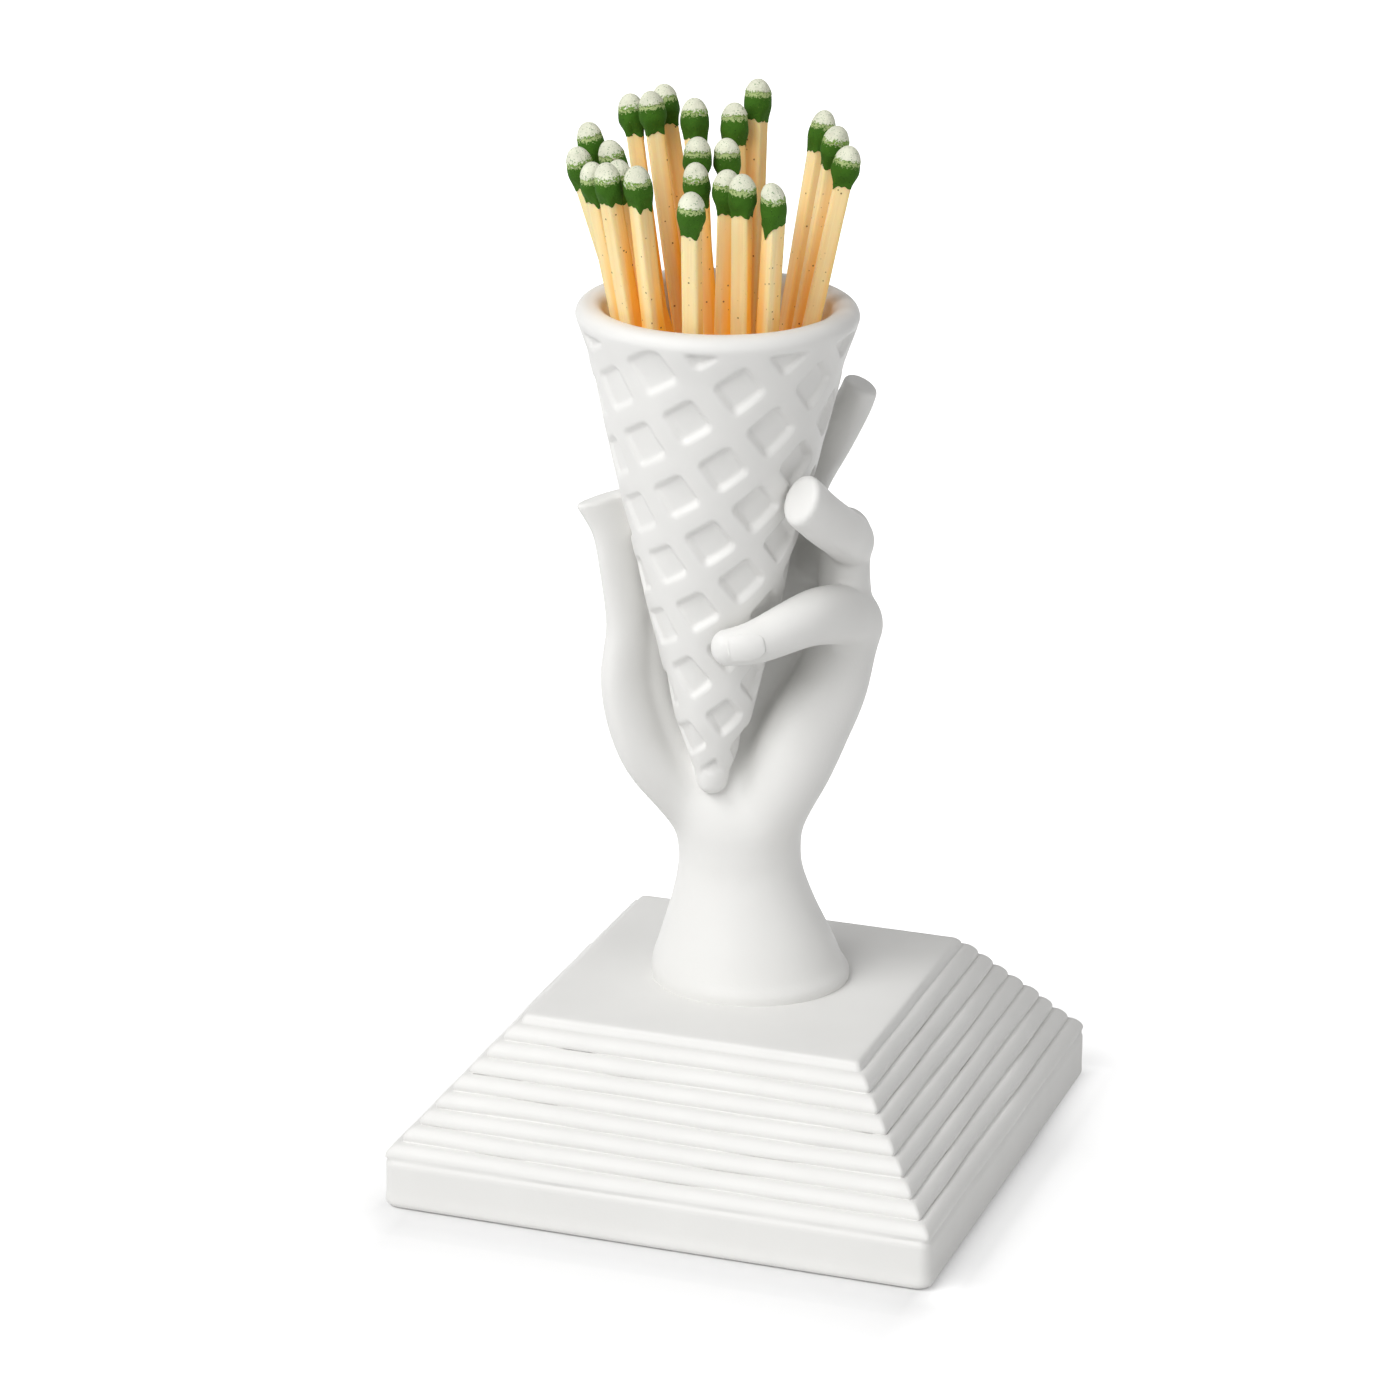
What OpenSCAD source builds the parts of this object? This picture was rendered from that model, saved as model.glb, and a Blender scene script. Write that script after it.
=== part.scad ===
// Match striker: a ridged square base, a forearm and hand that hold a waffle cone
// cup, and a bundle of wooden matches standing in the cup.
// The hand and the cone are laid out in the hand's own frame (X to the right of the
// palm, Y away from the palm's side, Z up), which is turned on the base.

/* [Base] */
// Side of the square base at its foot
base_w = 76; // [72:1:84]
// Side of the flat top of the base
top_w = 46.6; // [44:0.5:50]
// Height of the base
base_h = 24.3; // [23:0.1:27]
// Number of striking ridges round the slope
ridges = 8; // [6:1:10]
// Height of the plain band under the ridges
band_h = 7; // [6:0.5:9]
// How far a ridge stands out from its own groove
ridge_out = 0.5; // [0.3:0.05:0.7]
// Radius of the upright corners
corner_r = 2.2; // [1:0.1:3]
// Rounding of the lowest edge
foot_round = 1.2; // [0.6:0.1:1.6]
// Width of the foot rim that the base rests on
foot_rim = 6; // [4:0.5:10]
// Depth of the panel inside the foot rim
foot_recess = 1.2; // [0.6:0.1:2]

/* [Cone cup] */
// Height of the rim above the table
rim_z = 119.6; // [117:0.1:124]
// Outer radius of the rim
rim_r = 18.4; // [17.5:0.1:19]
// Widening of the cone for each millimetre of height
cone_slope = 0.235; // [0.22:0.005:0.25]
// Thickness of the rim and of the cup's wall
cup_wall = 3.7; // [3.2:0.1:4]
// Depth of the cup, from the rim to its floor
cup_depth = 31; // [28:0.5:33]
// Narrowing of the cup's inside for each millimetre of depth
cup_slope = 0.205; // [0.19:0.005:0.22]
// Height of the plain band under the rim
rim_band = 2.6; // [2:0.1:5]
// Radius of the blunt tip of the cone
tip_r = 3.3; // [2.5:0.1:3.6]
// Place of the cone's axis to the left of the wrist
cone_left = 4.9; // [4:0.1:5.5]
// Place of the cone's axis in front of the wrist
cone_front = 4; // [3:0.1:5]

/* [Waffle pattern] */
// Distance between neighbouring cells near the rim
cell_pitch = 6.8; // [6:0.1:8]
// Side of a cell near the rim
cell_w = 4.9; // [3.5:0.1:5.5]
// Depth of a cell
cell_d = 0.9; // [0.5:0.05:1.2]
// Turn of the rows from the level
cell_turn = 36; // [25:1:45]
// How far the cells shrink towards the tip, 1 for none
cell_shrink = 0.83; // [0.7:0.01:1]

/* [Hand] */
// Turn of the hand on the base, in degrees
hand_turn = 19; // [0:1:45]
// Sides of a finger's section
finger_sides = 16; // [12:1:20]
// Sides of the section of the arm and palm
palm_sides = 26; // [20:1:32]

/* [Matches] */
// Length of a match with its head
match_l = 50; // [46:0.5:54]
// Side of the square stick
stick_w = 2.2; // [2:0.05:2.4]
// Largest radius of the head
head_r = 1.8; // [1.6:0.05:2]
// Length of the head, tip included
head_l = 5.4; // [4.5:0.1:6]
// Length of the pale tip of the head
tip_l = 1.9; // [1.5:0.1:2.4]
// Clearance between a stick's foot and the cup
foot_gap = 0.3; // [0.2:0.05:0.4]

/* [Hidden] */
MATCHES = 23;

PORCELAIN = "whitesmoke";
WOOD = "burlywood";
GREEN = "forestgreen";
PALE = "honeydew";

// Mixes two values or lists
function mix(a, b, t) = a + (b - a) * t;
function unit(v) = v / norm(v);

// One solid through rings of equal length, from the first to the last
module loft(rings) {
    n = len(rings[0]);
    m = len(rings);
    points = [for (ring = rings) each ring];
    sides = [
        for (k = [0:m - 2]) for (i = [0:n - 1]) each [
            [k * n + i, k * n + (i + 1) % n, (k + 1) * n + i],
            [k * n + (i + 1) % n, (k + 1) * n + (i + 1) % n, (k + 1) * n + i]
        ]
    ];
    end = (m - 1) * n;
    first = [for (i = [1:n - 2]) [0, i + 1, i]];
    last = [for (i = [1:n - 2]) [end, end + i, end + i + 1]];
    polyhedron(points, concat(sides, first, last), convexity = 6);
}

// A point or station on a smooth curve through the list p, at s from 0 to len - 1
function knot(p, i) = p[max(0, min(len(p) - 1, i))];
function curve(p, s) = let (
    i = min(floor(s), len(p) - 2), t = s - i,
    a = knot(p, i - 1), b = knot(p, i), c = knot(p, i + 1), d = knot(p, i + 2)
) b + 0.5 * t * (c - a + t * (2 * a - 5 * b + 4 * c - d + t * (3 * b - a - 3 * c + d)));
function place(station) = [station[0], station[1], station[2]];

// Outward direction from the cone's axis at a point of the hand's frame
AXIS = [-cone_left, -cone_front];
function outward(p) = unit([p[0] - AXIS[0], p[1] - AXIS[1], 0]);

// Ring of a limb: stations hold x, y, z, half width, half thickness and roll.
// The thickness points away from the cone, turned about the limb by the roll.
function limb_ring(stations, s, ahead, size, n, scoop) = let (
    here = curve(stations, s),
    step = 0.02,
    along = unit(place(curve(stations, min(s + step, len(stations) - 1)))
        - place(curve(stations, max(s - step, 0)))),
    across = unit(cross(along, outward(place(here)))),
    out = cross(across, along),
    wide = across * cos(here[5]) + out * sin(here[5]),
    thick = out * cos(here[5]) - across * sin(here[5]),
    c = place(here) + along * ahead * here[4]
) [
    for (i = [0:n - 1]) let (
        a = 360 * i / n,
        dip = sin(a) < 0 ? 1 - scoop * pow(sin(a), 2) : 1
    ) c + wide * (here[3] * size * cos(a)) + thick * (here[4] * size * sin(a) * dip)
];

// A finger or palm pad: rings along the curve, with a domed end at each side
END_STEPS = [78, 52, 26];
module limb(stations, per_span = 3, n = finger_sides, scoop = 0) {
    last = len(stations) - 1;
    loft(concat(
        [for (a = END_STEPS) limb_ring(stations, 0, -sin(a), cos(a), n, scoop)],
        [for (k = [0:last * per_span]) limb_ring(stations, k / per_span, 0, 1, n, scoop)],
        [for (k = [2:-1:0]) limb_ring(stations, last, sin(END_STEPS[k]), cos(END_STEPS[k]), n, scoop)]
    ));
}

// Square outline with rounded corners, half side h and corner radius r, at height z
CORNER_STEPS = 5;
function square_ring(h, r, z) = [
    for (q = [0:3]) for (k = [0:CORNER_STEPS - 1]) let (
        a = 90 * q + 90 * k / (CORNER_STEPS - 1),
        m = [cos(90 * q + 45), sin(90 * q + 45)] * (h - r) * sqrt(2)
    ) [m[0] + r * cos(a), m[1] + r * sin(a), z]
];

// The slope: each ridge starts in a groove, bulges and turns under to the next groove.
// Its points are shares of the way along and of how far the ridge stands out.
RIDGE_SHAPE = [[0, 0], [0.24, 0.75], [0.55, 1], [0.86, 0.85], [0.97, 0.35]];
// Spare width before the first and after the last ridge, in ridges
BEFORE_RIDGES = 0.3;
AFTER_RIDGES = 0.15;
// Edges of the flat top and of the band: out from their corner, down from their top
TOP_EDGE = [[-1, 0], [-0.2, 0.15], [0.3, 0.6]];
BAND_EDGE = [[-0.25, 0], [0, 0.6]];
cap_h = 1.3;
step_h = (base_h - band_h - cap_h) / ridges;
step_w = (base_w - top_w) / 2 / (ridges + BEFORE_RIDGES + AFTER_RIDGES);
module ridged_base() {
    fall = norm([step_w, step_h]);
    ridge = [
        for (k = [0:ridges - 1]) for (p = RIDGE_SHAPE) let (
            along = k + p[0],
            out = p[1] * ridge_out
        ) [
            top_w / 2 + (BEFORE_RIDGES + along) * step_w + out * step_h / fall,
            base_h - cap_h - along * step_h + out * step_w / fall
        ]
    ];
    profile = concat(
        [for (p = TOP_EDGE) [top_w / 2 + p[0], base_h - p[1]]],
        ridge,
        [for (p = BAND_EDGE) [base_w / 2 + p[0], band_h - p[1]]],
        [for (a = [0:30:90]) [
            base_w / 2 - foot_round * (1 - cos(a)), foot_round * (1 - sin(a))
        ]]
    );
    loft([for (p = profile) square_ring(p[0], corner_r, p[1])]);
}

// The panel inside the foot rim, sunk into the underside
module foot_panel() {
    w = base_w - 2 * foot_rim;
    translate([-w / 2, -w / 2, -1]) cube([w, w, 1 + foot_recess]);
}

// The cone's outline: blunt tip, straight wall and rounded rim
cone_tip_z = rim_z - (rim_r - tip_r) / cone_slope;
lip = cup_wall * 0.45;
lip_drop = lip * 1.2;
floor_round = 1;
floor_z = rim_z - cup_depth;
inner_r = rim_r - cup_wall;
floor_r = inner_r - cup_slope * cup_depth;
module cone_outline(inset) {
    polygon([
        [0, cone_tip_z - tip_r + inset],
        for (a = [-75:15:-15]) [(tip_r - inset) * cos(a), cone_tip_z + (tip_r - inset) * sin(a)],
        [rim_r - inset - lip_drop * cone_slope, rim_z - lip_drop],
        for (a = [0:22.5:90]) [rim_r - inset - lip + lip * cos(a), rim_z - lip + lip * sin(a)],
        [0, rim_z]
    ]);
}
module cup_hollow() {
    rotate_extrude($fn = 64) polygon([
        [0, floor_z],
        [floor_r - floor_round, floor_z],
        [floor_r + floor_round * cup_slope, floor_z + floor_round],
        [inner_r - cup_slope * lip, rim_z - lip],
        for (a = [0:22.5:90]) [inner_r + lip - lip * cos(a), rim_z - lip + lip * sin(a)],
        [inner_r + lip, rim_z + 1],
        [0, rim_z + 1]
    ]);
}

// Waffle cells: a square lattice on the unrolled cone, drawn together towards the tip
rim_slant = rim_r / sin(atan(cone_slope));
cone_share = sin(atan(cone_slope));
lattice_at = rim_slant * 0.9;
first_cell = [8.75, rim_slant * 0.906];
// Lattice rows that are tried, how far round the cells go and how near to the apex
CELL_ROWS = [-12, 16];
CELL_TURN_END = 168;
CELL_LOW_END = 14;
CELL_CORNER = 1 / 6;
function spread(s) = lattice_at * pow(s / lattice_at, cell_shrink);
function cell_place(i, j) = let (
    a = first_cell[0] * cone_share * cell_shrink,
    start = spread(first_cell[1]) * [sin(a), cos(a)],
    p = start + cell_pitch * (i * [cos(cell_turn), sin(cell_turn)]
        + j * [sin(cell_turn), -cos(cell_turn)]),
    slant = lattice_at * pow(norm(p) / lattice_at, 1 / cell_shrink)
) [atan2(p[0], p[1]) / cell_shrink / cone_share, slant];
module cell(turn, slant) {
    size = cell_w * pow(slant / lattice_at, 1 - cell_shrink);
    h = size / 2;
    c = size * CELL_CORNER;
    r = slant * cone_share;
    rotate([0, 0, turn - 90])
        translate([r, 0, rim_z - (rim_r - r) / cone_slope])
            rotate([0, 90 + atan(cone_slope), 0])
                rotate([0, 0, 90 + cell_turn - turn * cone_share])
                    translate([0, 0, -2 * cell_d])
                        linear_extrude(5 * cell_d) polygon([
                            [h, c - h], [h, h - c], [h - c, h], [c - h, h],
                            [-h, h - c], [-h, c - h], [c - h, -h], [h - c, -h]
                        ]);
}
module waffle_cells() {
    top = rim_slant - (rim_band - cell_w / 4) / cos(atan(cone_slope));
    for (i = [CELL_ROWS[0]:CELL_ROWS[1]]) for (j = [CELL_ROWS[0]:CELL_ROWS[1]])
        let (c = cell_place(i, j))
            if (abs(c[0]) < CELL_TURN_END && c[1] < top && c[1] > CELL_LOW_END)
                cell(c[0], c[1]);
}
module cone_cup() {
    translate([AXIS[0], AXIS[1], 0]) difference() {
        union() {
            rotate_extrude($fn = 64) cone_outline(cell_d);
            difference() {
                rotate_extrude($fn = 64) cone_outline(0);
                intersection() {
                    waffle_cells();
                    cylinder(h = rim_z - rim_band, r = rim_r * 1.2);
                }
            }
        }
        cup_hollow();
    }
}

// The forearm: level sections with centre, height, half width and half depth.
// The heights of the arm and hand are for a base of this height, and move with it.
ARM_BASE = 24.3;
ARM = [
    [0.6, 0.6, 24, 13.2, 11.8], [0.6, 0.6, 25.4, 13.4, 12], [0.2, 0.6, 27, 12.8, 11.2],
    [0, 0.6, 30, 11.7, 10.1], [-0.5, 0.6, 35, 9.8, 8.2], [-0.9, 0.6, 39.5, 8.5, 6.9],
    [-1.1, 0.5, 43, 8.3, 6.5], [-1.4, 0.4, 46.5, 8.9, 6.6], [-1.8, 0.6, 50, 10.6, 6.8],
    [-1.8, 1.2, 54, 12.6, 6.8], [-1.8, 2.4, 59, 14, 6.2], [-1.4, 4, 65, 13.8, 5.6],
    [-1, 6, 71, 13, 5.1], [-0.6, 8.2, 78, 12.4, 4.5], [-0.4, 10.2, 84, 11.6, 4],
    [-0.4, 11.4, 88, 10, 3.2]
];
module forearm() {
    last = len(ARM) - 1;
    loft([for (k = [0:last * 2]) let (s = curve(ARM, k / 2)) [
        for (i = [palm_sides - 1:-1:0]) let (a = 360 * i / palm_sides)
            [s[0] + s[3] * cos(a), s[1] + s[4] * sin(a), s[2]]
    ]]);
}

// Hand-placed stations of the hand's limbs: x, y, z, half width, half thickness, roll
THUMB = [
    [-4.6, 0.4, 46, 4, 3.6, 10], [-7.6, 0, 52, 5.3, 4.6, 24], [-11.7, -0.6, 59, 6.3, 4.6, 34],
    [-13.9, -1, 67, 6.4, 3.9, 38], [-13.8, -1, 75, 5.7, 3.2, 40], [-15, -1, 83, 5.4, 2.6, 40],
    [-16.9, -1.2, 89.6, 5.2, 2.2, 40], [-20, -1.4, 95, 5.2, 2, 40]
];
// The thumb's straight end: a point on it and its fall towards the left
THUMB_TOP = [-20.4, 0, 92.3];
THUMB_FALL = 7;
HEEL = [
    [1.6, 0.6, 44, 3.6, 4, 0], [4.1, -0.4, 51, 4.2, 4.8, 0], [7.3, -0.8, 57.5, 5.1, 5, 0],
    [10.8, 0.2, 65, 5.3, 4.8, 0], [13.1, 1.6, 72.5, 5, 4.4, 0]
];
LITTLE = [
    [11, 5.5, 71, 3.8, 3.6, 0], [13.6, 0.6, 75.2, 4, 3.8, 0], [8.4, -9.2, 78.6, 3.8, 3.2, 0],
    [0.8, -14, 76.8, 2.9, 2.7, 0], [-3.2, -15, 76.2, 2.4, 2.1, 0]
];
RING = [
    [7.5, 10, 80, 3.6, 3.4, 0], [12.6, 1, 85.4, 3.5, 3.3, 0], [11.8, -5, 89.4, 3.3, 3.1, 0],
    [8.4, -11.6, 93.2, 3, 2.8, 0], [6, -14.8, 96.4, 2.5, 2.2, 0]
];
MIDDLE = [
    [2, 12, 82, 3.6, 3.3, 0], [5.6, 10.4, 87.5, 3.3, 3.1, 0], [8, 8, 93.4, 3.1, 2.9, 0],
    [10.6, 5, 99, 3, 2.7, 0], [12.7, 3.4, 105.2, 2.9, 2.3, 0]
];
INDEX = [
    [-6, 11.6, 82, 3.6, 3.3, 0], [-7, 12.4, 90, 3.3, 3.1, 0], [-6.6, 14, 99, 3, 2.8, 0],
    [-6, 15.4, 107, 2.6, 2.3, 0]
];
module thumb() {
    difference() {
        limb(THUMB, n = 20, scoop = 0.6);
        translate(THUMB_TOP) rotate([0, -THUMB_FALL, 0])
            linear_extrude(20) square(40, center = true);
    }
}
module hand() {
    thumb();
    limb(HEEL, n = 18);
    limb(LITTLE);
    limb(RING);
    limb(MIDDLE);
    limb(INDEX);
}

module striker_body() {
    color(PORCELAIN) difference() {
        union() {
            ridged_base();
            rotate([0, 0, hand_turn]) {
                translate([0, 0, base_h - ARM_BASE]) {
                    forearm();
                    hand();
                }
                cone_cup();
            }
        }
        foot_panel();
        rotate([0, 0, hand_turn]) translate([AXIS[0], AXIS[1], 0]) cup_hollow();
    }
}

// The matches' feet: one in the middle, a ring of 7 and a ring of 15 drawn to the back.
// Their places and the heads' are for matches of this width and length. They spread
// with the width, and the matches keep their leans when the length changes.
BUNDLE_STICK = 2.2;
BUNDLE_MATCH = 50;
bundle = stick_w / BUNDLE_STICK;
INNER_COUNT = 7;
INNER_RING = 3.6;
INNER_START = 0.75;
OUTER_COUNT = MATCHES - 1 - INNER_COUNT;
OUTER_RING = [7, 6.8];
OUTER_START = 0.33;
BUNDLE_BACK = [0.3, 0.8];
function foot_at(i) = let (
    a = 360 * (i - 1 + INNER_START) / INNER_COUNT,
    b = 360 * (i - 1 - INNER_COUNT + OUTER_START) / OUTER_COUNT
) bundle * (i == 0 ? [0, BUNDLE_BACK[0]]
    : i <= INNER_COUNT ? [INNER_RING * cos(a), BUNDLE_BACK[0] + INNER_RING * sin(a)]
    : [OUTER_RING[0] * cos(b), BUNDLE_BACK[1] + OUTER_RING[1] * sin(b)]);

// Where each match's head would stand, right of and behind the cone's axis, its spin, and
// how far along itself it is held up by its neighbours
HEADS = [
    [-3, 9, 45, 5.8], [2, 10, 35, 4.8], [-13.4, 1, 45, 3.2], [-17.4, -2.4, 45, 3.6],
    [-2.8, -1.2, 10, 2.6], [-12.8, -4.8, 25, 1.4], [-3, -6, 15, 0.6], [1, 0, 0, 2.2],
    [14.8, 1, 10, 2.4], [13.4, 7, 30, 1.8], [5, 13, 60, 3.6], [-7, 14.3, 20, 2.8],
    [-8.7, 9.9, 10, 2.4], [-11.4, 13.4, 0, 2], [-16.8, 5, 40, 1], [-16.2, -7.9, 50, 0.6],
    [-14.1, -11.2, 40, 2], [-10.3, -12.5, 40, 1.8], [-3.5, -17, 70, 0], [1, -8.5, 0, 0],
    [2.9, -12.6, 70, 0.6], [7.1, -13.9, 40, 0], [16.3, -4, 0, 2.2]
];

// Height of the seat under a foot: the cup's floor, its rounded edge or the wall
function seat(reach) = max(
    floor_z,
    floor_z + (reach - floor_r + floor_round) / (1 + cup_slope),
    rim_z - (inner_r - reach) / cup_slope
);
module on_match(i) {
    foot = foot_at(i);
    head = foot + (bundle * [HEADS[i][0], HEADS[i][1]] - foot) * match_l / BUNDLE_MATCH;
    lean = asin(norm(head - foot) / match_l);
    half_diagonal = stick_w / sqrt(2);
    z = seat(norm(foot) + half_diagonal) + half_diagonal * sin(lean) + foot_gap;
    to = head - foot;
    rotate([0, 0, hand_turn])
        translate([AXIS[0] + foot[0], AXIS[1] + foot[1], z])
            rotate([0, 0, atan2(to[1], to[0])])
                rotate([0, lean, 0])
                    rotate([0, 0, HEADS[i][2] - atan2(to[1], to[0])])
                        translate([0, 0, HEADS[i][3]])
                            children();
}

// A stick ends inside its head, a little below the pale tip
stick_l = match_l - tip_l - stick_w * 0.27;
module stick_bar() {
    translate([-stick_w / 2, -stick_w / 2, 0]) cube([stick_w, stick_w, stick_l]);
}
module stick(i) {
    color(WOOD) on_match(i) stick_bar();
}
head_foot_r = stick_w / sqrt(2) + 0.1;
tip_foot_r = head_r * 0.86;
// The head's side: share of the swelling and share of the way up
HEAD_RISE = [[0.7, 0.2], [1, 0.55]];
HEAD_TAPER = [0.35, 0.85];
module head(i) {
    low = match_l - head_l;
    high = match_l - tip_l;
    color(GREEN) on_match(i) difference() {
        rotate_extrude($fn = 32) polygon([
            [0, low], [head_foot_r, low],
            for (p = HEAD_RISE) [mix(head_foot_r, head_r, p[0]), mix(low, high, p[1])],
            [mix(head_r, tip_foot_r, HEAD_TAPER[0]), mix(low, high, HEAD_TAPER[1])],
            [tip_foot_r, high], [0, high]
        ]);
        stick_bar();
    }
}
module pale_tip(i) {
    color(PALE) on_match(i) rotate_extrude($fn = 32) polygon([
        [0, match_l - tip_l],
        for (a = [0:15:90]) [tip_foot_r * cos(a), match_l - tip_l + tip_l * sin(a)]
    ]);
}
module match_tips() {
    for (i = [0:MATCHES - 1]) pale_tip(i);
}

striker_body();
for (i = [1:MATCHES]) {
    stick(i - 1);
    head(i - 1);
}
match_tips();
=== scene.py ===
# Match striker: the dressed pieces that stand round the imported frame.
# Lengths in the tables and formulas are in millimetres, in the frame's axes.

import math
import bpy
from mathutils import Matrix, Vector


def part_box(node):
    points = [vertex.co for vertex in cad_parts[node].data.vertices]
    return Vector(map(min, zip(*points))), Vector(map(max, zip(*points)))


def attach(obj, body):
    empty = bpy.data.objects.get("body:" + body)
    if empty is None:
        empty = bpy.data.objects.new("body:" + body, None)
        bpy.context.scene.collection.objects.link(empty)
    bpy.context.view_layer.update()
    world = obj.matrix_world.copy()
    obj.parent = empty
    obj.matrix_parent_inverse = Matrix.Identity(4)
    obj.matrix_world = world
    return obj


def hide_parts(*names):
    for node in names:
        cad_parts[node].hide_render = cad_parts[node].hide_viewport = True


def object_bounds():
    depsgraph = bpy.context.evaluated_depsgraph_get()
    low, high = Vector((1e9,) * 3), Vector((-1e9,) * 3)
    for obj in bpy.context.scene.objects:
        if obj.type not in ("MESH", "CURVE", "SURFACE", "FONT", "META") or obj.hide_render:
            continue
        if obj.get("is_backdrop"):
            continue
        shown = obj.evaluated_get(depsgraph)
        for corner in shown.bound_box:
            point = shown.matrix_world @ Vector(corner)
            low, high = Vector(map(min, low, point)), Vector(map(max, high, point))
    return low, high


bl_info = {
    "name": "Match striker",
    "version": (1, 0, 0),
    "blender": (4, 5, 0),
    "location": "3D View > Sidebar > Striker",
    "description": "Builds the porcelain striker and its matches round the packed frame",
    "category": "Object",
}

from collections import namedtuple
from types import SimpleNamespace

import bpy
import numpy as np
from bpy.props import FloatProperty, FloatVectorProperty, IntProperty, PointerProperty
from mathutils import Matrix, Vector

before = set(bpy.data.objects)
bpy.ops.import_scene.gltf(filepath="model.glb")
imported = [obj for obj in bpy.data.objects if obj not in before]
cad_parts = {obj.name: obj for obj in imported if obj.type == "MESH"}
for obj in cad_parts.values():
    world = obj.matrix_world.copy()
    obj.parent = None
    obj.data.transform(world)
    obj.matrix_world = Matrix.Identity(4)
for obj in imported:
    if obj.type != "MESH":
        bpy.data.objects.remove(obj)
CAD_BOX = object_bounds()
BODY_LOW, BODY_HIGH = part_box("striker_body")
MM = 0.001


# Numbers and curves shared by the pieces

def unit(v):
    """Vectors divided by their lengths."""
    return v / np.maximum(np.linalg.norm(v, axis=-1, keepdims=True), 1e-9)


def ease(x):
    """Smooth step: 0 below 0, 1 above 1, level at both ends."""
    x = np.clip(x, 0, 1)
    return x * x * (3 - 2 * x)


def curve(stations, s):
    """Smooth curve through the stations, each span a cubic whose slope at a station is half the
    step between its neighbours."""
    p = np.asarray(stations, float)
    s = np.clip(np.asarray(s, float), 0, len(p) - 1)
    i = np.minimum(s.astype(int), len(p) - 2)
    t = (s - i)[:, None]
    a, b = p[np.maximum(i - 1, 0)], p[i]
    c, d = p[i + 1], p[np.minimum(i + 2, len(p) - 1)]
    return b + 0.5 * t * (c - a + t * (2 * a - 5 * b + 4 * c - d + t * (3 * b - a - 3 * c + d)))


def ripple(x, y, seed=0.0):
    """Gentle unevenness of hand work: three crossed sine waves, between about -1 and 1."""
    a = np.sin(x * 0.31 + 1.7 * seed) * np.cos(y * 0.23 + 0.9 * seed)
    b = np.sin(x * 0.13 + y * 0.17 + 2.3 * seed + 1.1)
    c = np.sin(x * 0.57 - y * 0.41 + 3.1 * seed)
    return 0.4 * a + 0.4 * b + 0.2 * c


def scatter(i, j, seed=0.0):
    """A fixed value from 0 to 1 for each pair of whole numbers."""
    x = np.sin(i * 12.9898 + j * 78.233 + seed * 37.719) * 43758.5453
    return x - np.floor(x)


def wrap(a):
    """An angle brought to within half a turn of 0."""
    return np.mod(a + np.pi, 2 * np.pi) - np.pi


def round_angles(columns):
    """A row of even angles round a full turn."""
    return np.arange(columns)[None, :] * 2 * math.pi / columns


def in_mm(group):
    """The settings of a group, with its lengths in millimetres."""
    values = {key: getattr(group, key) for key in type(group).__annotations__}
    for key, value in values.items():
        if group.bl_rna.properties[key].unit == "LENGTH":
            values[key] = value / MM
    return SimpleNamespace(**values)


def onto_base(points, hand):
    """Turns points of the hand's own frame onto the base."""
    a = hand.turn
    x, y = points[..., 0], points[..., 1]
    turned = [x * math.cos(a) - y * math.sin(a), x * math.sin(a) + y * math.cos(a), points[..., 2]]
    return np.stack(turned, -1)


def add_item(name, data):
    """An object of the scene made from data."""
    item = bpy.data.objects.new(name, data)
    bpy.context.scene.collection.objects.link(item)
    return item


def make_object(name, points, faces, material, slot_name, replaced, marks=None):
    """A mesh object at the origin from points in millimetres, riding on the body, in place of
    the named nodes. Marks are named values on its points, for its material."""
    mesh = bpy.data.meshes.new(name)
    mesh.from_pydata((points * MM).tolist(), [], faces)
    for mark, values in (marks or {}).items():
        layer = mesh.attributes.new(mark, "FLOAT", "POINT")
        layer.data.foreach_set("value", np.asarray(values, np.float32))
    mesh.shade_smooth()
    mesh.materials.append(material)
    piece = add_item(name, mesh)
    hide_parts(*replaced)
    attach(piece, "root")
    return piece


def mesh_points(mesh):
    """A mesh's points in millimetres."""
    co = np.empty(len(mesh.vertices) * 3)
    mesh.vertices.foreach_get("co", co)
    return co.reshape(-1, 3) / MM


def tube_faces(rows, columns):
    """Quads between neighbouring rings of points; each ring closes on itself."""
    r = np.arange(rows - 1)[:, None] * columns
    c = np.arange(columns)[None, :]
    n = (c + 1) % columns
    quads = np.stack([r + c, r + n, r + columns + n, r + columns + c], -1)
    return quads.reshape(-1, 4)


def closed_surface(grid):
    """Points and faces of a (rows, columns) grid of rings with a point at each end."""
    rows, columns = grid.shape[:2]
    start, end = grid[0].mean(0), grid[-1].mean(0)
    points = np.concatenate([grid.reshape(-1, 3), [start, end]])
    c = np.arange(columns)
    n = (c + 1) % columns
    last = (rows - 1) * columns
    caps = [[rows * columns, b, a] for a, b in zip(c, n)]
    caps += [[rows * columns + 1, last + a, last + b] for a, b in zip(c, n)]
    return points, tube_faces(rows, columns).tolist() + [list(map(int, f)) for f in caps]


# Sizes and colours that a user would change

def length(name, description, value):
    """A length property, given in millimetres."""
    return FloatProperty(name=name, description=description, default=value * MM, unit="LENGTH")


def number(name, description, value):
    """A plain number property."""
    return FloatProperty(name=name, description=description, default=value)


def angle(name, description, value):
    """An angle property, given in degrees."""
    return FloatProperty(
        name=name, description=description, default=math.radians(value), subtype="ANGLE")


def colour(name, description, value):
    """A colour property."""
    return FloatVectorProperty(
        name=name, description=description, default=value, subtype="COLOR", min=0, max=1)


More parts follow.
